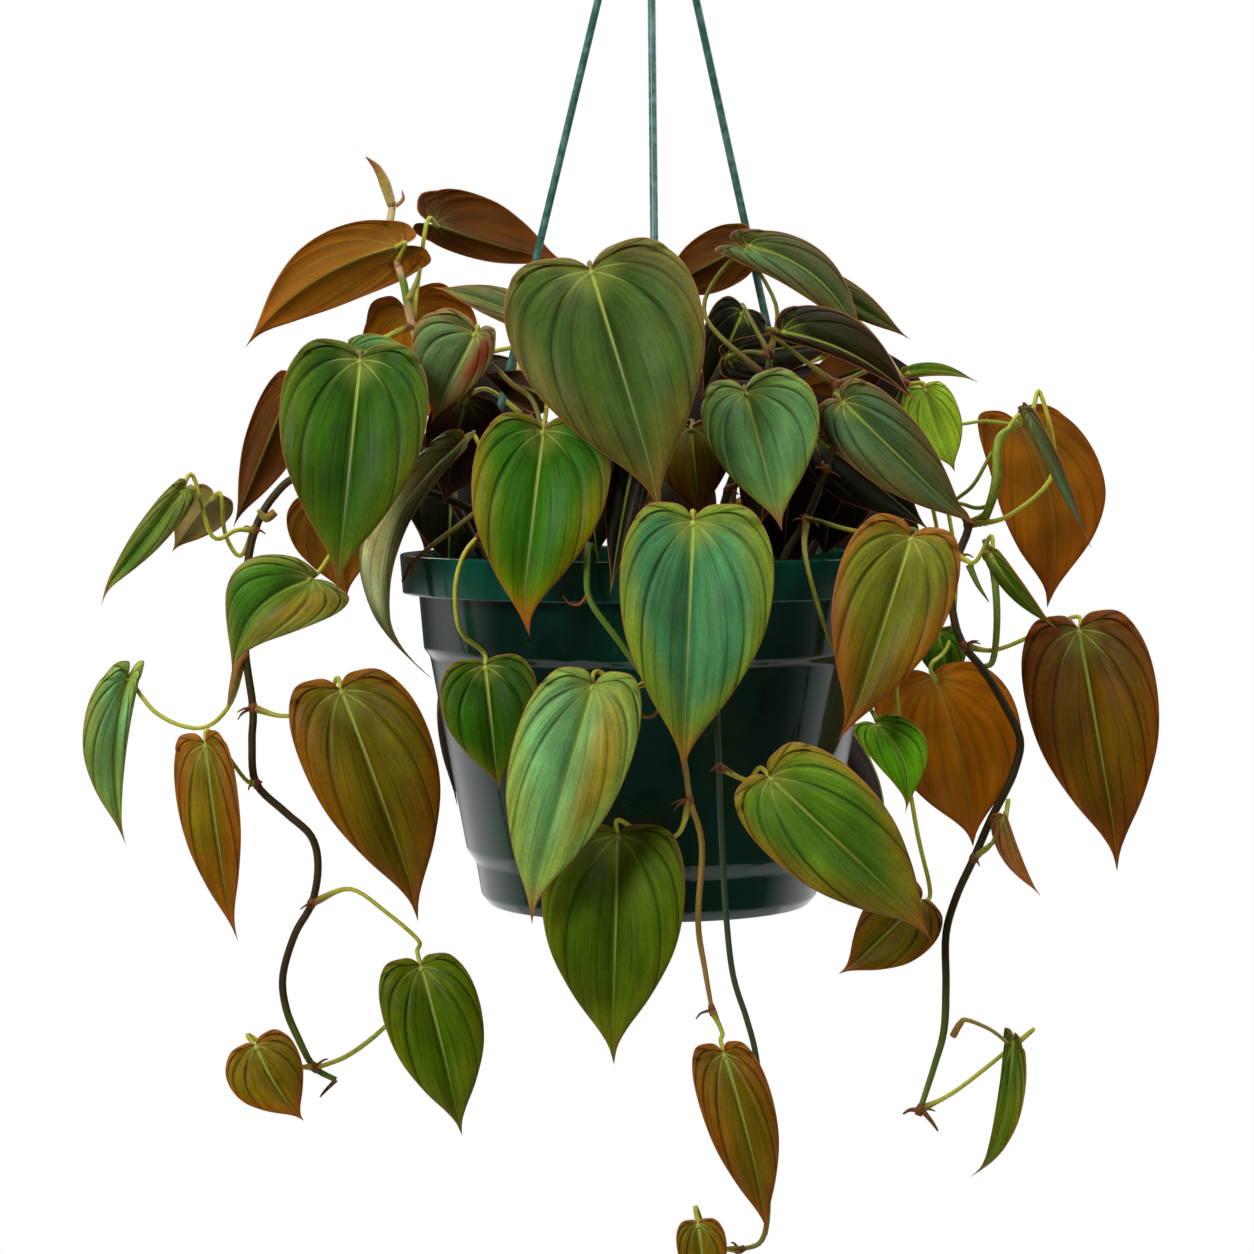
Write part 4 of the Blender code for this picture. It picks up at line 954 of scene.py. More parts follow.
def add_blade(piece, spot, colours, grid, draw):
    """Adds one leaf's blade: its upper face, its underside and the margin between them."""
    side_gap, middle_gap, edge_gap = blade_gaps(spot, grid)
    normal = np.array(spot.normal)
    places = blade_points(spot, grid.across, grid.along)
    places = places + np.outer(relief(spot, grid, middle_gap), normal)
    inner = smoothstep(0.0, MARGIN_WIDTH, edge_gap)
    thickness = MARGIN_THICKNESS + (BLADE_THICKNESS - MARGIN_THICKNESS) * inner
    total = len(places)
    seed = np.full(total, draw.uniform(0.0, 50.0))
    counts = grid.count * np.sign(grid.across + NEARLY_NOTHING)
    grains = np.stack([counts, grid.reach, seed], axis=1)
    gaps = np.stack([side_gap, middle_gap, edge_gap], axis=1) / MM
    for face_up, material in ((True, "leaf_top"), (False, "leaf_underside")):
        offset = np.outer(thickness / 2 * (1 if face_up else -1), normal)
        faces = grid.faces if face_up else [face[::-1] for face in grid.faces]
        tints = blade_tints(spot, colours, grid, edge_gap, face_up, draw)
        piece.add(places + offset, faces, material, tints, grains, gaps)
    loop = zip(grid.border, grid.border[1:] + grid.border[:1])
    margin = [(a, b, total + b, total + a) for a, b in loop]
    piece.add_faces(margin, piece.count - 2 * total, "leaf_top")


# Stems, stalks and what grows at their joints


def blend_tints(stops, shares):
    """Colours at the shares of a run, from stops given as (share, colour code)."""
    places = [share for share, _ in stops]
    colours = np.array([linear(code) for _, code in stops])
    return np.stack([np.interp(shares, places, colours[:, channel]) for channel in range(3)], axis=1)


def add_tube(piece, points, radii, stops, material, sides=STALK_SIDES):
    """Adds a closed tube along points, with a radius for each, coloured along by its stops."""
    places, faces = tube(points, radii, sides)
    total = len(points)
    shares = np.linspace(0.0, 1.0, total)
    tints = np.repeat(blend_tints(stops, shares), sides, axis=0)
    around = np.tile(np.arange(sides) / sides, total)
    seed = np.full(total * sides, float(piece.count % 50))
    piece.add(places, faces, material, tints, np.stack([around, np.repeat(shares, sides), seed], axis=1))


def add_stalk(piece, start, middle, spot):
    """A leaf stalk with a sheath at its foot, up to the blade's heart from behind."""
    reach = min(STALK_ARRIVAL, 0.4 * (spot.heart - start).length)
    arrive = spot.heart - spot.along * reach * 0.6 - spot.normal * reach * 0.8
    end = Vector(blade_points(spot, np.zeros(1), np.full(1, STALK_SINK / spot.length))[0])
    points = catmull_rom([start, *middle, arrive, end], STALK_STEPS)
    shares = np.linspace(0.0, 1.0, len(points))
    sheath = SHEATH_SWELL * np.exp(-(shares / SHEATH_REACH) ** 2)
    knee = KNEE_SWELL * np.exp(-((1 - shares) / KNEE_REACH) ** 2)
    colour = SHADED_STALK if piece.node in INNER_STEMS else STALK_COLOUR
    stops = ((0.0, JOINT_COLOUR), (0.14, colour), (0.85, colour), (1.0, RIB_COLOUR))
    add_tube(piece, points, STALK_RADIUS * (1.0 + sheath + knee), stops, "stalk")


def add_joint(piece, place, direction, draw):
    """A swollen ring where a stalk leaves, with one to three short root stubs."""
    direction = direction.normalized()
    ring = [place + direction * offset for offset, _ in JOINT_RING]
    swell = np.array([share for _, share in JOINT_RING]) * piece.radius
    colour = PALE_JOINTS.get(piece.node, JOINT_COLOUR)
    add_tube(piece, ring, swell, ((0.0, colour), (1.0, colour)), "stem", STEM_SIDES)
    for _ in range(draw.randint(1, 3)):
        side = Vector((draw.uniform(-1, 1), draw.uniform(-1, 0.4), draw.uniform(-0.7, 0.5)))
        side = (side - direction * side.dot(direction) * 0.7).normalized()
        reach = draw.uniform(*ROOT_REACH)
        bend = Vector((draw.uniform(-1, 1), draw.uniform(-1, 1), -1.0)) * reach * 0.25
        tip = place + side * (piece.radius + reach) + bend
        halfway = place + side * (piece.radius + reach / 2)
        points = catmull_rom([place, halfway, tip], ROOT_STEPS)
        radii = np.linspace(*ROOT_RADII, len(points))
        add_tube(piece, points, radii, ((0.0, JOINT_COLOUR), (1.0, ROOT_COLOUR)), "stem", ROOT_SIDES)


def add_shoot(piece, shoot):
    """A spare stalk, sheath, root or furled leaf: a tube whose radius and colour change along it."""
    points = catmull_rom([seen(place) for place in shoot.route], STEM_STEPS)
    shares = np.linspace(0.0, 1.0, len(points))
    radii = np.interp(shares, np.linspace(0.0, 1.0, len(shoot.radii)), shoot.radii) * MM
    stops = list(zip(np.linspace(0.0, 1.0, len(shoot.colours)), shoot.colours))
    add_tube(piece, points, radii, stops, "stalk")


def add_stem(piece, route, joints, stops, draw):
    """A stem through its points that thins to its end, with the growth at its joints."""
    points = catmull_rom(route, STEM_STEPS)
    shares = np.linspace(0.0, 1.0, len(points))
    radii = piece.radius * np.interp(shares, (0.0, 0.9, 1.0), STEM_TAPER)
    add_tube(piece, points, radii, stops, "stem", STEM_SIDES)
    for index in joints:
        ahead = route[min(index + 1, len(route) - 1)]
        add_joint(piece, route[index], ahead - route[index - 1], draw)


def make_front_stem(name, stem, grid, looks):
    """A stem of the front view, with its stalks, leaves and shoots."""
    draw = random.Random(name)
    piece = Piece(name, FRONT_STEM_SHARE * stem.radius)
    x, y = stem.foot[0] * MM, stem.foot[1] * MM
    above_soil = RIM_TOP - SOIL_DROP + SOIL_MOUND + FOOT_RISE
    foot = [Vector((x, y, RIM_TOP - FOOT_DEPTH)), Vector((x, y, above_soil))]
    path = [seen(place) for place in stem.path]
    joints = sorted({leaf.at % len(path) + len(foot) for leaf in stem.leaves})
    add_stem(piece, foot + path, joints, STEM_STOPS.get(name, DARK_STEM), draw)
    for leaf in stem.leaves:
        spot = front_spot(leaf)
        add_stalk(piece, path[leaf.at], [seen(place) for place in leaf.via], spot)
        add_blade(piece, spot, (leaf.tone, leaf.other, leaf.under), grid, draw)
    for shoot in SHOOTS.get(name, ()):
        add_shoot(piece, shoot)
    return piece.build(looks)


def back_spot(heart, outward, pitch, length, roll):
    """The spot of a leaf of the plant's back, given by the way its tip points."""
    along = (outward * math.cos(pitch) + UP * math.sin(pitch)).normalized()
    across = along.cross(UP).normalized()
    spin = Matrix.Rotation(roll, 3, along)
    half = length * BACK_WIDTH / 2
    return Spot(heart, length, along, -(spin @ across), spin @ across.cross(along), half, half,
                0.0, 0.0, 0.0, BACK_ARCH, math.radians(BLADE_FOLD), 1.0, 0.0)


def trail_joints(spec, draw):
    """Below the rim, a back vine's joints as (out, up, sway) from its foot, and the leaf on each."""
    joints = []
    leaves = []
    for step in range(1, spec.trail + 1):
        sway = draw.uniform(-TRAIL_SWAY, TRAIL_SWAY)
        out, up = (last + change * step for last, change in zip(TRAIL_OVER_RIM[-1], TRAIL_STEP))
        joints.append((out, up, sway))
        swing = TRAIL_SWING * (1 if step % 2 else -1)
        pitch = draw.uniform(*TRAIL_PITCH)
        leaves.append(BackLeaf(swing, step - 1, *TRAIL_STALK, pitch, draw.uniform(*TRAIL_LENGTH)))
    return joints, leaves


def make_back_stem(name, spec, grid, looks, draw):
    """A stem of the plant's back: an upright one with crown leaves, or a vine over the rim."""
    outward = at_angle(1.0, spec.bearing, 0.0)
    aside = at_angle(1.0, spec.bearing + 90.0, 0.0)
    foot = at_angle(spec.foot, spec.bearing, RIM_TOP)
    trail, trail_leaves = trail_joints(spec, draw)
    route = [foot - UP * FOOT_DEPTH, foot + UP * (SOIL_MOUND - SOIL_DROP + FOOT_RISE)]
    if spec.trail:
        route += [foot + outward * out + UP * up for out, up in TRAIL_OVER_RIM]
    joints = [foot + outward * out + UP * up for out, up in spec.joints]
    joints += [foot + outward * out + aside * sway + UP * up for out, up, sway in trail]
    leaves = (*spec.leaves, *trail_leaves)
    piece = Piece(name, STEM_RADIUS)
    detail = random.Random(name)
    add_stem(piece, route + joints, [len(route) + leaf.joint for leaf in leaves], DARK_STEM, detail)
    for leaf in leaves:
        start = joints[leaf.joint]
        bearing = at_angle(1.0, spec.bearing + leaf.swing, 0.0)
        heart = start + bearing * leaf.reach + UP * leaf.rise
        roll = math.radians(draw.uniform(-BACK_ROLL, BACK_ROLL))
        spot = back_spot(heart, bearing, math.radians(leaf.pitch), leaf.length, roll)
        colours = (detail.choice(BACK_TONES), None, BACK_UNDER)
        add_stalk(piece, start, [start.lerp(heart, 0.5) + UP * BACK_STALK_LIFT], spot)
        add_blade(piece, spot, colours, grid, detail)
    return piece.build(looks)


# Pot, hanger and soil


def rounded(profile, radius, steps=4):
    """Rounds the corners of a run of (radius, z) points."""
    run = [profile[0]]
    for before, corner, after in zip(profile, profile[1:], profile[2:]):
        corner = np.array(corner)
        reaches = [np.array(before) - corner, np.array(after) - corner]
        lengths = [np.linalg.norm(reach) for reach in reaches]
        start, end = (corner + reach * min(radius, 0.45 * length) / length
                      for reach, length in zip(reaches, lengths))
        for step in range(steps + 1):
            t = step / steps
            run.append(tuple(start * (1 - t) ** 2 + corner * 2 * t * (1 - t) + end * t * t))
    run.append(profile[-1])
    return run


def turned(profile, sides, closed=False, centre=(0.0, 0.0)):
    """Points and faces of (radius, z) points turned about an upright axis."""
    points = []
    for radius, z in profile:
        for step in range(sides):
            angle = 2.0 * math.pi * step / sides
            points.append((centre[0] + radius * math.cos(angle), centre[1] + radius * math.sin(angle), z))
    return points, skin(len(profile), sides, closed)


def joined(parts):
    """Points and faces of several parts as one mesh's."""
    points, faces = [], []
    for more_points, more_faces in parts:
        faces += [tuple(index + len(points) for index in face) for face in more_faces]
        points += [tuple(point) for point in more_points]
    return points, faces


def link_mesh(name, points, faces, look, sharp=50.0):
    """An object with one look, smooth but at edges sharper than the given degrees."""
    mesh = bpy.data.meshes.new(name)
    mesh.from_pydata([tuple(point) for point in points], [], faces)
    mesh.materials.append(look)
    mesh.shade_smooth()
    mesh.set_sharp_from_angle(angle=math.radians(sharp))
    return linked(mesh)


def make_pot(looks):
    """The pot: its wall and drop-lip rim as one turned section, with a holed lug for each strand."""
    skirt = [
        (RIM_RADIUS - RIM_EASE - WALL, WALL + RIM_EASE),
        (RIM_RADIUS - 2 * RIM_EASE - WALL, RIM_BAND),
        (RIM_RADIUS - 2 * RIM_EASE, RIM_BAND),
        (RIM_RADIUS, RIM_EASE),
        (RIM_RADIUS - RIM_EASE, 0.0),
    ]
    section = [*reversed(WALL_OUTSIDE), *skirt, *WALL_INSIDE]
    section = [(max(radius, AXIS_HOLE), RIM_TOP - drop) for radius, drop in section]
    parts = [turned(rounded(section, POT_CORNER), POT_SIDES)]
    top = RIM_TOP - LUG_DROP
    bottom = top - LUG_THICKNESS
    ring = [(LUG_HOLE, bottom), (LUG_OUTSIDE, bottom), (LUG_OUTSIDE, top), (LUG_HOLE, top)]
    for degrees in STRAND_ANGLES.values():
        parts.append(turned(ring, LUG_SIDES, True, at_angle(LUG_RADIUS, degrees, 0.0).xy))
    return link_mesh("pot_fine", *joined(parts), looks["pot"], 60.0)


def make_hook(looks):
    """The hook with its neck, and the collar that the strands run into."""
    bend = HOOK_INNER + HOOK_ROD
    route = [Vector((-bend - HOOK_MOUTH[0], 0.0, -HOOK_INNER - HOOK_MOUTH[1]))]
    for degrees in range(180, -1, -HOOK_TURN):
        angle = math.radians(degrees)
        route.append(Vector((bend * math.cos(angle), 0.0, -HOOK_INNER + bend * math.sin(angle))))
    route += [Vector((x, 0.0, z)) for x, z in HOOK_NECK]
    route.append(Vector((0.0, 0.0, (COLLAR_TOP + COLLAR_BOTTOM) / 2)))
    rod = tube(catmull_rom(route, HOOK_STEPS), HOOK_ROD, HOOK_SIDES)
    section = [(AXIS_HOLE, COLLAR_BOTTOM), *COLLAR_WALL, (AXIS_HOLE, COLLAR_TOP)]
    collar = turned(rounded(section, COLLAR_CORNER), COLLAR_SIDES)
    return link_mesh("hanger_hook_fine", *joined((rod, collar)), looks["hanger"])


def make_strand(side, degrees, looks):
    """A strand from the collar down to its lug, through it and back up beside it."""
    lug = RIM_TOP - LUG_DROP
    top = at_angle(STRAND_TOP_RADIUS, degrees, STRAND_TOP)
    bend = at_angle(STRAND_TOP_RADIUS, degrees, STRAND_BEND)
    above, *end = [at_angle(LUG_RADIUS + out, degrees, lug + up) for out, up in (STRAND_ENTRY, *STRAND_END)]
    straight = [bend.lerp(above, share) for share in STRAND_STRAIGHT]
    points = catmull_rom([top, bend, *straight, above, *end], STEM_STEPS)
    rod = tube(points, STRAND_RADIUS, STRAND_SIDES)
    return link_mesh(f"hanger_strand_{side}_fine", *rod, looks["hanger"])


def bark_bit(place, draw):
    """A small flat splinter: a squashed eight-cornered block with its corners moved about."""
    size = draw.uniform(*BARK_SIZE)
    spin = Matrix.Rotation(draw.uniform(0.0, math.pi), 3, "Z")
    tilt = Matrix.Rotation(draw.uniform(*BARK_TILT), 3, "X")
    points = []
    for corner in BLOCK_CORNERS:
        local = Vector([draw.uniform(*BARK_CORNER) * at * share for at, share in zip(corner, BARK_SHAPE)])
        points.append(place + spin @ (tilt @ (local * size)))
    return points, BLOCK_FACES


def make_soil(looks):
    """The potting mix: a lumpy surface with loose bits of bark pressed into it."""
    draw = random.Random(SOIL_SEED)
    high, low = WALL_INSIDE[:2]
    edge = high[0] + (low[0] - high[0]) * SOIL_DROP / low[1] - SOIL_GAP
    top = RIM_TOP - SOIL_DROP
    bottom = top - SOIL_DEPTH
    profile = [(AXIS_HOLE, bottom), (edge - SOIL_TAPER, bottom)]
    for step in range(SOIL_RINGS):
        inward = step / SOIL_RINGS
        profile.append((edge * (1.0 - inward), top + SOIL_MOUND * inward ** SOIL_BULGE))
    profile.append((AXIS_HOLE, top + SOIL_MOUND))
    points, faces = turned(profile, SOIL_SIDES)
    points = [Vector(point) for point in points]
    for point in points:
        if point.z > top - MM and point.xy.length < edge * LUMPS_REACH:
            point.z += sum(height * noise.noise(point * scale) for scale, height in SOIL_LUMPS)
    parts = [(points, faces)]
    for _ in range(BARK_BITS):
        reach = edge * BARK_REACH * math.sqrt(draw.random())
        place = at_angle(reach, draw.uniform(0.0, 360.0), 0.0)
        place.z = top + SOIL_MOUND * (1.0 - reach / edge) ** SOIL_BULGE + draw.uniform(*BARK_RISE)
        parts.append(bark_bit(place, draw))
    return link_mesh("potting_soil_fine", *joined(parts), looks["soil"], 30.0)


# Materials


class Nodes:
    """A node tree, with short calls for the nodes that are used here."""

    def __init__(self, tree):
        self.tree = tree

    def feed(self, value, socket):
        if isinstance(value, bpy.types.NodeSocket):
            self.tree.links.new(value, socket)
        else:
            socket.default_value = value

    def node(self, kind, **inputs):
        """A new node with its inputs fed by name, _ for a space, from values or other outputs."""
        made = self.tree.nodes.new(kind)
        for name, value in inputs.items():
            self.feed(value, made.inputs[name.replace("_", " ")])
        return made

    def coordinates(self, output="Object"):
        return self.node("ShaderNodeTexCoord").outputs[output]

    def split(self, vector):
        return tuple(self.node("ShaderNodeSeparateXYZ", Vector=vector).outputs)

    def math(self, operation, *values):
        made = self.node("ShaderNodeMath")
        made.operation = operation
        for value, socket in zip(values, made.inputs):
            self.feed(value, socket)
        return made.outputs[0]

    def product(self, first, *others):
        for other in others:
            first = self.math("MULTIPLY", first, other)
        return first

    def ramp(self, value, low, high, start=0.0, end=1.0):
        """Maps low..high smoothly to start..end."""
        made = self.node("ShaderNodeMapRange")
        made.interpolation_type = "SMOOTHSTEP"
        for given, socket in zip((value, low, high, start, end), made.inputs):
            self.feed(given, socket)
        return made.outputs[0]


class Look(Nodes):
    """A material with a principled shader, and short calls for the textures that it uses."""

    def __init__(self, name, **settings):
        self.material = bpy.data.materials.new(name)
        self.material.use_nodes = True
        super().__init__(self.material.node_tree)
        self.shader = self.tree.nodes["Principled BSDF"]
        for socket, value in settings.items():
            self.feed(value, self.shader.inputs[socket.replace("_", " ")])

    def attribute(self, name):
        made = self.node("ShaderNodeAttribute")
        made.attribute_name = name
        return made.outputs

    def mix(self, share, first, second, blend="MIX"):
        made = self.node("ShaderNodeMix")
        made.data_type = "RGBA"
        made.blend_type = blend
        for value, index in ((share, 0), (first, 6), (second, 7)):
            self.feed(value, made.inputs[index])
        return made.outputs[2]

    def tinged(self, base, share, factors):
        """The base colour, multiplied by the factors as far as the share goes."""
        return self.mix(share, base, self.mix(1.0, base, (*factors, 1.0), "MULTIPLY"))

    def noise(self, scale, detail=3.0, vector=None, roughness=0.5):
        if vector is None:
            vector = self.coordinates()
        made = self.node("ShaderNodeTexNoise", Scale=scale, Detail=detail, Roughness=roughness, Vector=vector)
        return made.outputs["Fac"]

    def streaks(self, grain, across, along):
        """Noise drawn out along a blade's veins, or a stem's length."""
        place = self.node("ShaderNodeCombineXYZ", X=self.product(grain[0], across),
                          Y=self.product(grain[1], along), Z=grain[2]).outputs[0]
        return self.noise(1.0, 4.0, place, 0.6)

    def ridges(self, value, per_unit):
        """Rounded ridges with sharp valleys between them, from 0 to 1."""
        return self.math("ABSOLUTE", self.math("SINE", self.product(value, per_unit * math.pi)))

    def cells(self, scale):
        """Distance from the edges of small cells, as a net of fine veins leaves them."""
        made = self.node("ShaderNodeTexVoronoi", Scale=scale, Vector=self.coordinates())
        made.feature = "DISTANCE_TO_EDGE"
        return made.outputs["Distance"]

    def grey(self, value):
        return self.node("ShaderNodeCombineColor", Red=value, Green=value, Blue=value).outputs[0]

    def bump(self, height, strength, distance):
        made = self.node("ShaderNodeBump", Height=height, Strength=strength, Distance=distance)
        self.feed(made.outputs[0], self.shader.inputs["Normal"])

    def colour(self, value):
        self.feed(value, self.shader.inputs["Base Color"])

    def roughness(self, value):
        self.feed(value, self.shader.inputs["Roughness"])


def solid(code):
    return (*linear(code), 1.0)


def velvet(look, count, streaks, brush, plateau, quilting):
    """The points' tint with streaks, blotches, fine lines and warm patches, and painted highlight on the
    ridges.
    """
    fine_share = look.ramp(streaks, 0.40, 0.60, 1.0 - 0.40 * quilting, 1.0 - 0.12 * quilting)
    shade = look.product(
        look.ramp(streaks, 0.25, 0.75, 0.78, 1.26),
        look.ramp(look.noise(34.0, 4.0), 0.3, 0.7, 0.76, 1.24),
        look.ramp(brush, 0.25, 0.75, 1.0 - 0.16 * quilting, 1.0 + 0.18 * quilting),
        # Painted highlight on the ridges' tops and painted shade off them, as light would fall on the
        # quilting
        look.ramp(plateau, 0.0, 1.0, 1.0 - 0.14 * quilting, 1.0 + 0.10 * quilting),
        look.ramp(look.ridges(count, 3.0), 0.0, 0.28, fine_share, 1.0),
    )
    base = look.mix(1.0, look.attribute("tint")["Color"], look.grey(shade), "MULTIPLY")
    warm = look.ramp(look.noise(52.0), 0.50, 0.72, 0.0, 0.34 * quilting)
    return look.tinged(base, warm, (1.5, 0.95, 0.7))


def ribbed(look, base, reach, gaps, rib_share):
    """The base with pale side veins and midrib, a glow where they meet, and a reddish margin."""
    side_gap, middle_gap, edge_gap = gaps
    rib = solid(RIB_COLOUR)
    glow = look.product(look.ramp(reach, 0.0, 0.22, 0.42 * rib_share, 0.0), look.ramp(edge_gap, 0.0, 6.0))
    base = look.mix(glow, base, rib)
    side = look.product(look.ramp(side_gap, 0.1, 0.55, 1.0, 0.0),
                        look.ramp(reach, 0.05, 0.36, 0.55 * rib_share, 0.0))
    base = look.mix(side, base, rib)
    middle_gap = look.math("DIVIDE", middle_gap, look.ramp(reach, 0.0, 1.0, 1.00, 0.30))
    middle = look.product(look.ramp(middle_gap, 0.3, 1.0, 1.0, 0.0),
                          look.ramp(reach, 0.0, 1.0, 0.90 * rib_share, 0.25 * rib_share))
    base = look.mix(middle, base, rib)
    return look.mix(look.ramp(edge_gap, 0.10, 0.50, 0.80, 0.0), base, solid(MARGIN_COLOUR))


def leaf_look(name, rib_share, quilting, roughness):
    """Velvety blade: flat ridges with sunk lines between them and painted shade along those lines, a net of
    cells, ribs and a margin.
    """
    look = Look(name, Sheen_Weight=0.015, Sheen_Roughness=0.5, Specular_IOR_Level=0.12)
    grain = look.split(look.attribute("grain")["Vector"])
    count, reach, _ = grain
    gaps = look.split(look.attribute("gaps")["Vector"])
    streaks = look.streaks(grain, *LEAF_STREAKS)
    brush = look.streaks(grain, *LEAF_BRUSH)
    away = look.ramp(reach, 0.08, 0.30)
    plateau = look.product(look.ramp(look.ridges(count, 1.0), 0.0, 0.45), away)
    base = velvet(look, count, streaks, brush, plateau, quilting)
    # Painted shade: darkens the blade along the sunk side veins, where shade falls in the creases
    painted_valley_shade = look.product(look.ramp(gaps[0], 0.05, 0.55, 0.52 * quilting, 0.0), away)
    base = look.tinged(base, painted_valley_shade, (0.20, 0.24, 0.14))
    net = look.ramp(look.cells(NET_CELLS), 0.0, 0.09, 0.13 * quilting, 0.0)
    base = look.tinged(base, net, (2.4, 2.2, 1.8))
    look.colour(ribbed(look, base, reach, gaps, rib_share))
    look.roughness(look.ramp(streaks, 0.2, 0.8, roughness - 0.10, roughness + 0.06))
    lines = look.math("ADD", look.product(streaks, 0.55), look.product(brush, 0.22 * quilting))
    height = look.math("ADD", look.product(plateau, 0.8 * quilting), lines)
    height = look.product(height, look.ramp(reach, 0.30, 0.85, 1.0, 0.1))
    height = look.math("ADD", height, look.product(look.noise(900.0), 0.012))
    look.bump(height, 0.6, 0.0013)
    return look.material


def stalk_look(name, roughness):
    """Stems and stalks: the points' tint with long streaks and small bumps."""
    look = Look(name, Specular_IOR_Level=0.2)
    streaks = look.streaks(look.split(look.attribute("grain")["Vector"]), *STALK_STREAKS)
    shade = look.ramp(streaks, 0.25, 0.75, 0.7, 1.3)
    look.colour(look.mix(1.0, look.attribute("tint")["Color"], look.grey(shade), "MULTIPLY"))
    look.roughness(look.ramp(streaks, 0.2, 0.8, roughness - 0.08, roughness + 0.1))
    look.bump(look.noise(700.0), 0.3, 0.0004)
    return look.material


def pot_look():
    """Glossy dark green moulded plastic, with painted light: the rim's band and patches under it are coloured
    brighter than the wall.
    """
    look = Look("pot", Specular_IOR_Level=0.5)
    height = look.split(look.coordinates())[2]
    lip = RIM_TOP - RIM_BAND
    flow = look.noise(11.0)
    wall = look.mix(look.ramp(flow, 0.35, 0.65), solid("#03241a"), solid("#063a2a"))
    # Painted light: brighter green patches on the wall just under the rim
    under = look.product(look.ramp(height, lip - 1.6 * RIM_BAND, lip), look.ramp(flow, 0.45, 0.6))
    wall = look.mix(under, wall, solid("#07483a"))
    # Painted light: the rim's band is coloured brighter than the wall of the same plastic
    look.colour(look.mix(look.ramp(height, lip - 0.0005, lip + 0.0005), wall, solid("#094c3a")))
    look.roughness(look.ramp(look.noise(160.0, 4.0), 0.3, 0.75, 0.07, 0.14))
    look.bump(flow, 0.05, 0.002)
    return look.material


def hanger_look():
    """Green plastic coating with paler patches, partly wear and partly a painted highlight for the light
    lines along the rod.
    """
    look = Look("hanger", Specular_IOR_Level=0.5)
    # Paler patches: wear, and painted highlight standing for the light lines along the rod
    wear_and_highlight = look.noise(240.0)
    look.colour(look.mix(look.ramp(wear_and_highlight, 0.4, 0.7), solid("#3c6e62"), solid("#64948a")))
    look.roughness(look.ramp(wear_and_highlight, 0.3, 0.7, 0.25, 0.42))
    look.bump(wear_and_highlight, 0.2, 0.0003)
    return look.material


def soil_look():
    """Dark potting mix with browner pieces and pale crumbs."""
    look = Look("soil", Roughness=0.95, Specular_IOR_Level=0.2)
    crumbs = look.noise(420.0, 5.0)
    pieces = look.noise(90.0, 2.0)
    dark = look.mix(look.ramp(pieces, 0.35, 0.65), solid("#1a120c"), solid("#3b2817"))
    look.colour(look.mix(look.ramp(crumbs, 0.55, 0.8, 0.0, 0.6), dark, solid("#5d4026")))
    look.bump(crumbs, 0.8, 0.0012)
    return look.material


def make_looks():
    return {
        "leaf_top": leaf_look("leaf_top", 1.0, 1.0, 0.50),
        "leaf_underside": leaf_look("leaf_underside", 0.35, 0.35, 0.60),
        "stalk": stalk_look("stalk", 0.42),
        "stem": stalk_look("stem", 0.45),
        "pot": pot_look(),
        "hanger": hanger_look(),
        "soil": soil_look(),
    }


# Stage, lights and camera


def make_floor():
    disc = [(AXIS_HOLE, FLOOR_Z), (FLOOR_RADIUS, FLOOR_Z), (FLOOR_RADIUS, FLOOR_Z - FLOOR_THICKNESS)]
    look = Look("floor", Roughness=0.8)
    look.colour(look.mix(look.noise(3.0), solid("#f4f4f2"), solid("#f8f8f7")))
    floor = link_mesh("floor", *turned(disc, FLOOR_SIDES), look.material)


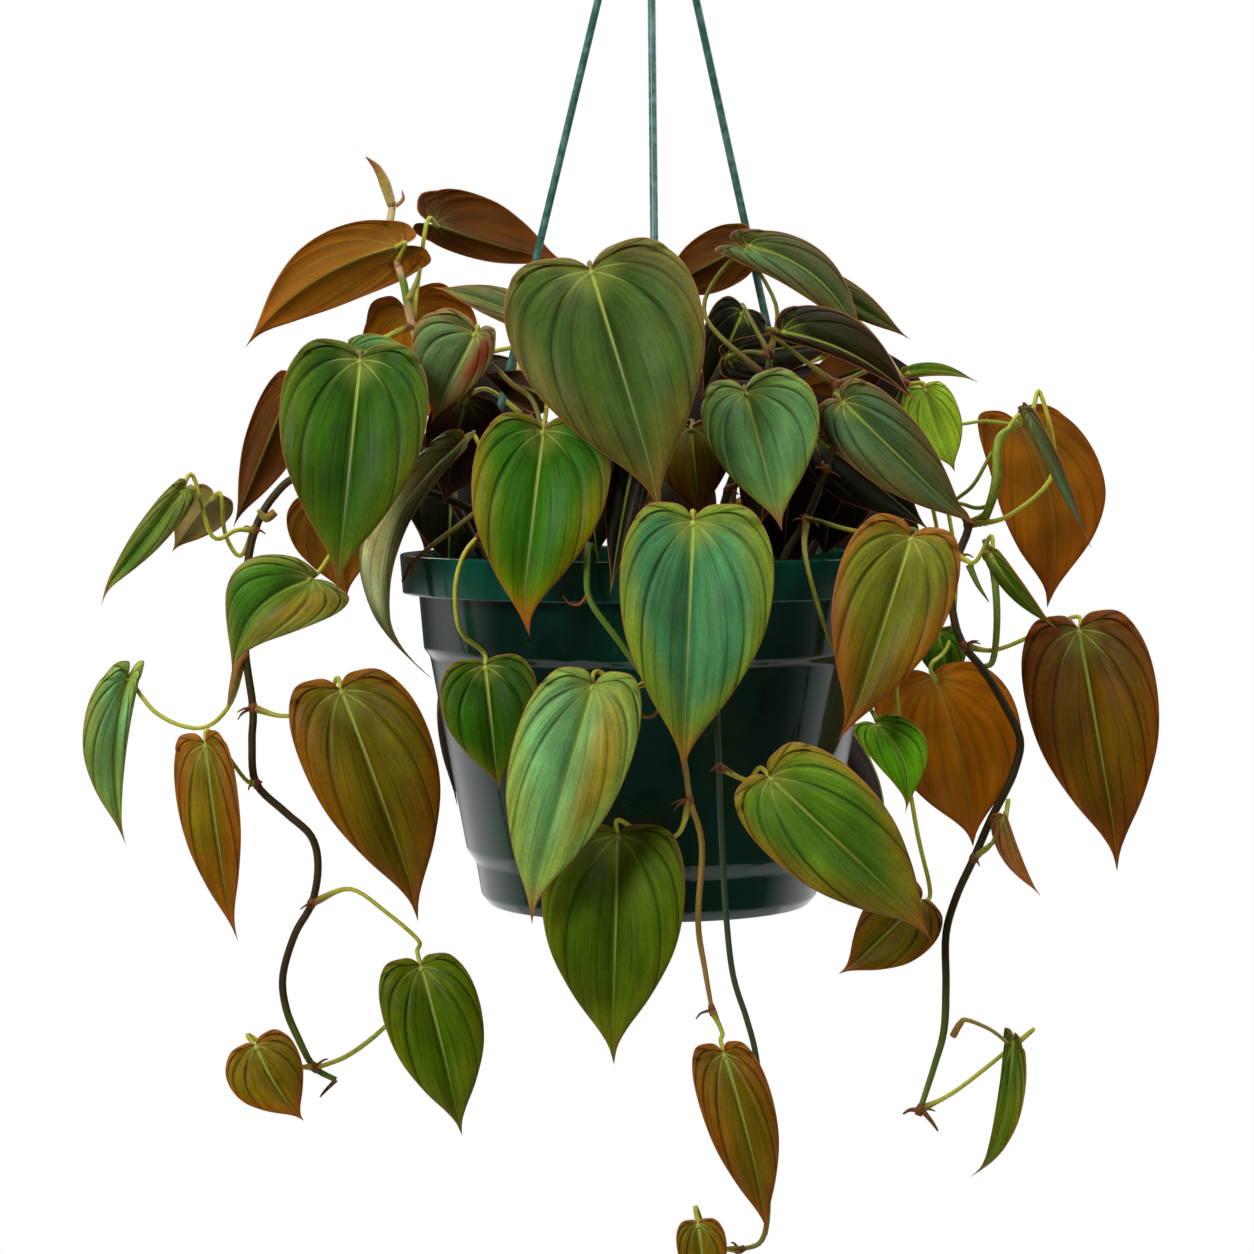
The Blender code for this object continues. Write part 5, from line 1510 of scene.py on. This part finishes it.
def make_world():
    """White all round for the picture; as a light, bright low down behind, and dim elsewhere."""
    world = bpy.data.worlds.new("studio")
    bpy.context.scene.world = world
    world.use_nodes = True
    nodes = Nodes(world.node_tree)
    nodes.tree.nodes.clear()
    _, back, up = nodes.split(nodes.coordinates("Generated"))
    strength = nodes.product(nodes.ramp(back, *WORLD_SIDES, WORLD_FRONT, WORLD_BACK),
                             nodes.ramp(up, *WORLD_HORIZON, 1.0, WORLD_ABOVE))
    around = nodes.node("ShaderNodeBackground", Strength=strength, Color=WHITE)
    plain = nodes.node("ShaderNodeBackground", Color=WHITE)
    seen_directly = nodes.node("ShaderNodeLightPath").outputs["Is Camera Ray"]
    choice = nodes.node("ShaderNodeMixShader")
    for value, socket in zip((seen_directly, around.outputs[0], plain.outputs[0]), choice.inputs):
        nodes.feed(value, socket)
    nodes.node("ShaderNodeOutputWorld", Surface=choice.outputs[0])


def make_light(name, place, target, size, power):
    light = bpy.data.lights.new(name, "AREA")
    light.shape = "RECTANGLE"
    light.size, light.size_y = size
    light.energy = power
    made = bpy.data.objects.new(name, light)
    made.location = place
    made.rotation_euler = (Vector(target) - Vector(place)).to_track_quat("-Z", "Y").to_euler()
    bpy.context.scene.collection.objects.link(made)


def make_camera():
    camera = bpy.data.cameras.new("camera")
    camera.sensor_fit = "HORIZONTAL"
    camera.sensor_width = SENSOR_WIDTH
    camera.lens = SENSOR_WIDTH * -EYE.y / (PICTURE_WIDTH * FRONT_UNIT)
    made = bpy.data.objects.new("camera", camera)
    made.location = EYE
    made.rotation_euler = (math.radians(90.0 - EYE_TILT), 0.0, 0.0)
    bpy.context.scene.collection.objects.link(made)
    bpy.context.scene.camera = made


def place_piece(piece, node):
    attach(piece, "root")
    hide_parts(node)


def main():
    looks = make_looks()
    grid = blade_grid()
    for name, stem in STEMS.items():
        place_piece(make_front_stem(name, stem, grid, looks), name)
    draw = random.Random(BACK_SEED)
    for name, spec in BACK_STEMS.items():
        place_piece(make_back_stem(name, spec, grid, looks, draw), name)
    place_piece(make_pot(looks), "pot")
    place_piece(make_soil(looks), "potting_soil")
    place_piece(make_hook(looks), "hanger_hook")
    for side, degrees in STRAND_ANGLES.items():
        place_piece(make_strand(side, degrees, looks), "hanger_strand_" + side)
    make_floor()
    make_world()
    for light in LIGHTS:
        make_light(*light)
    make_camera()
    bpy.context.scene.view_settings.view_transform = "Standard"


main()
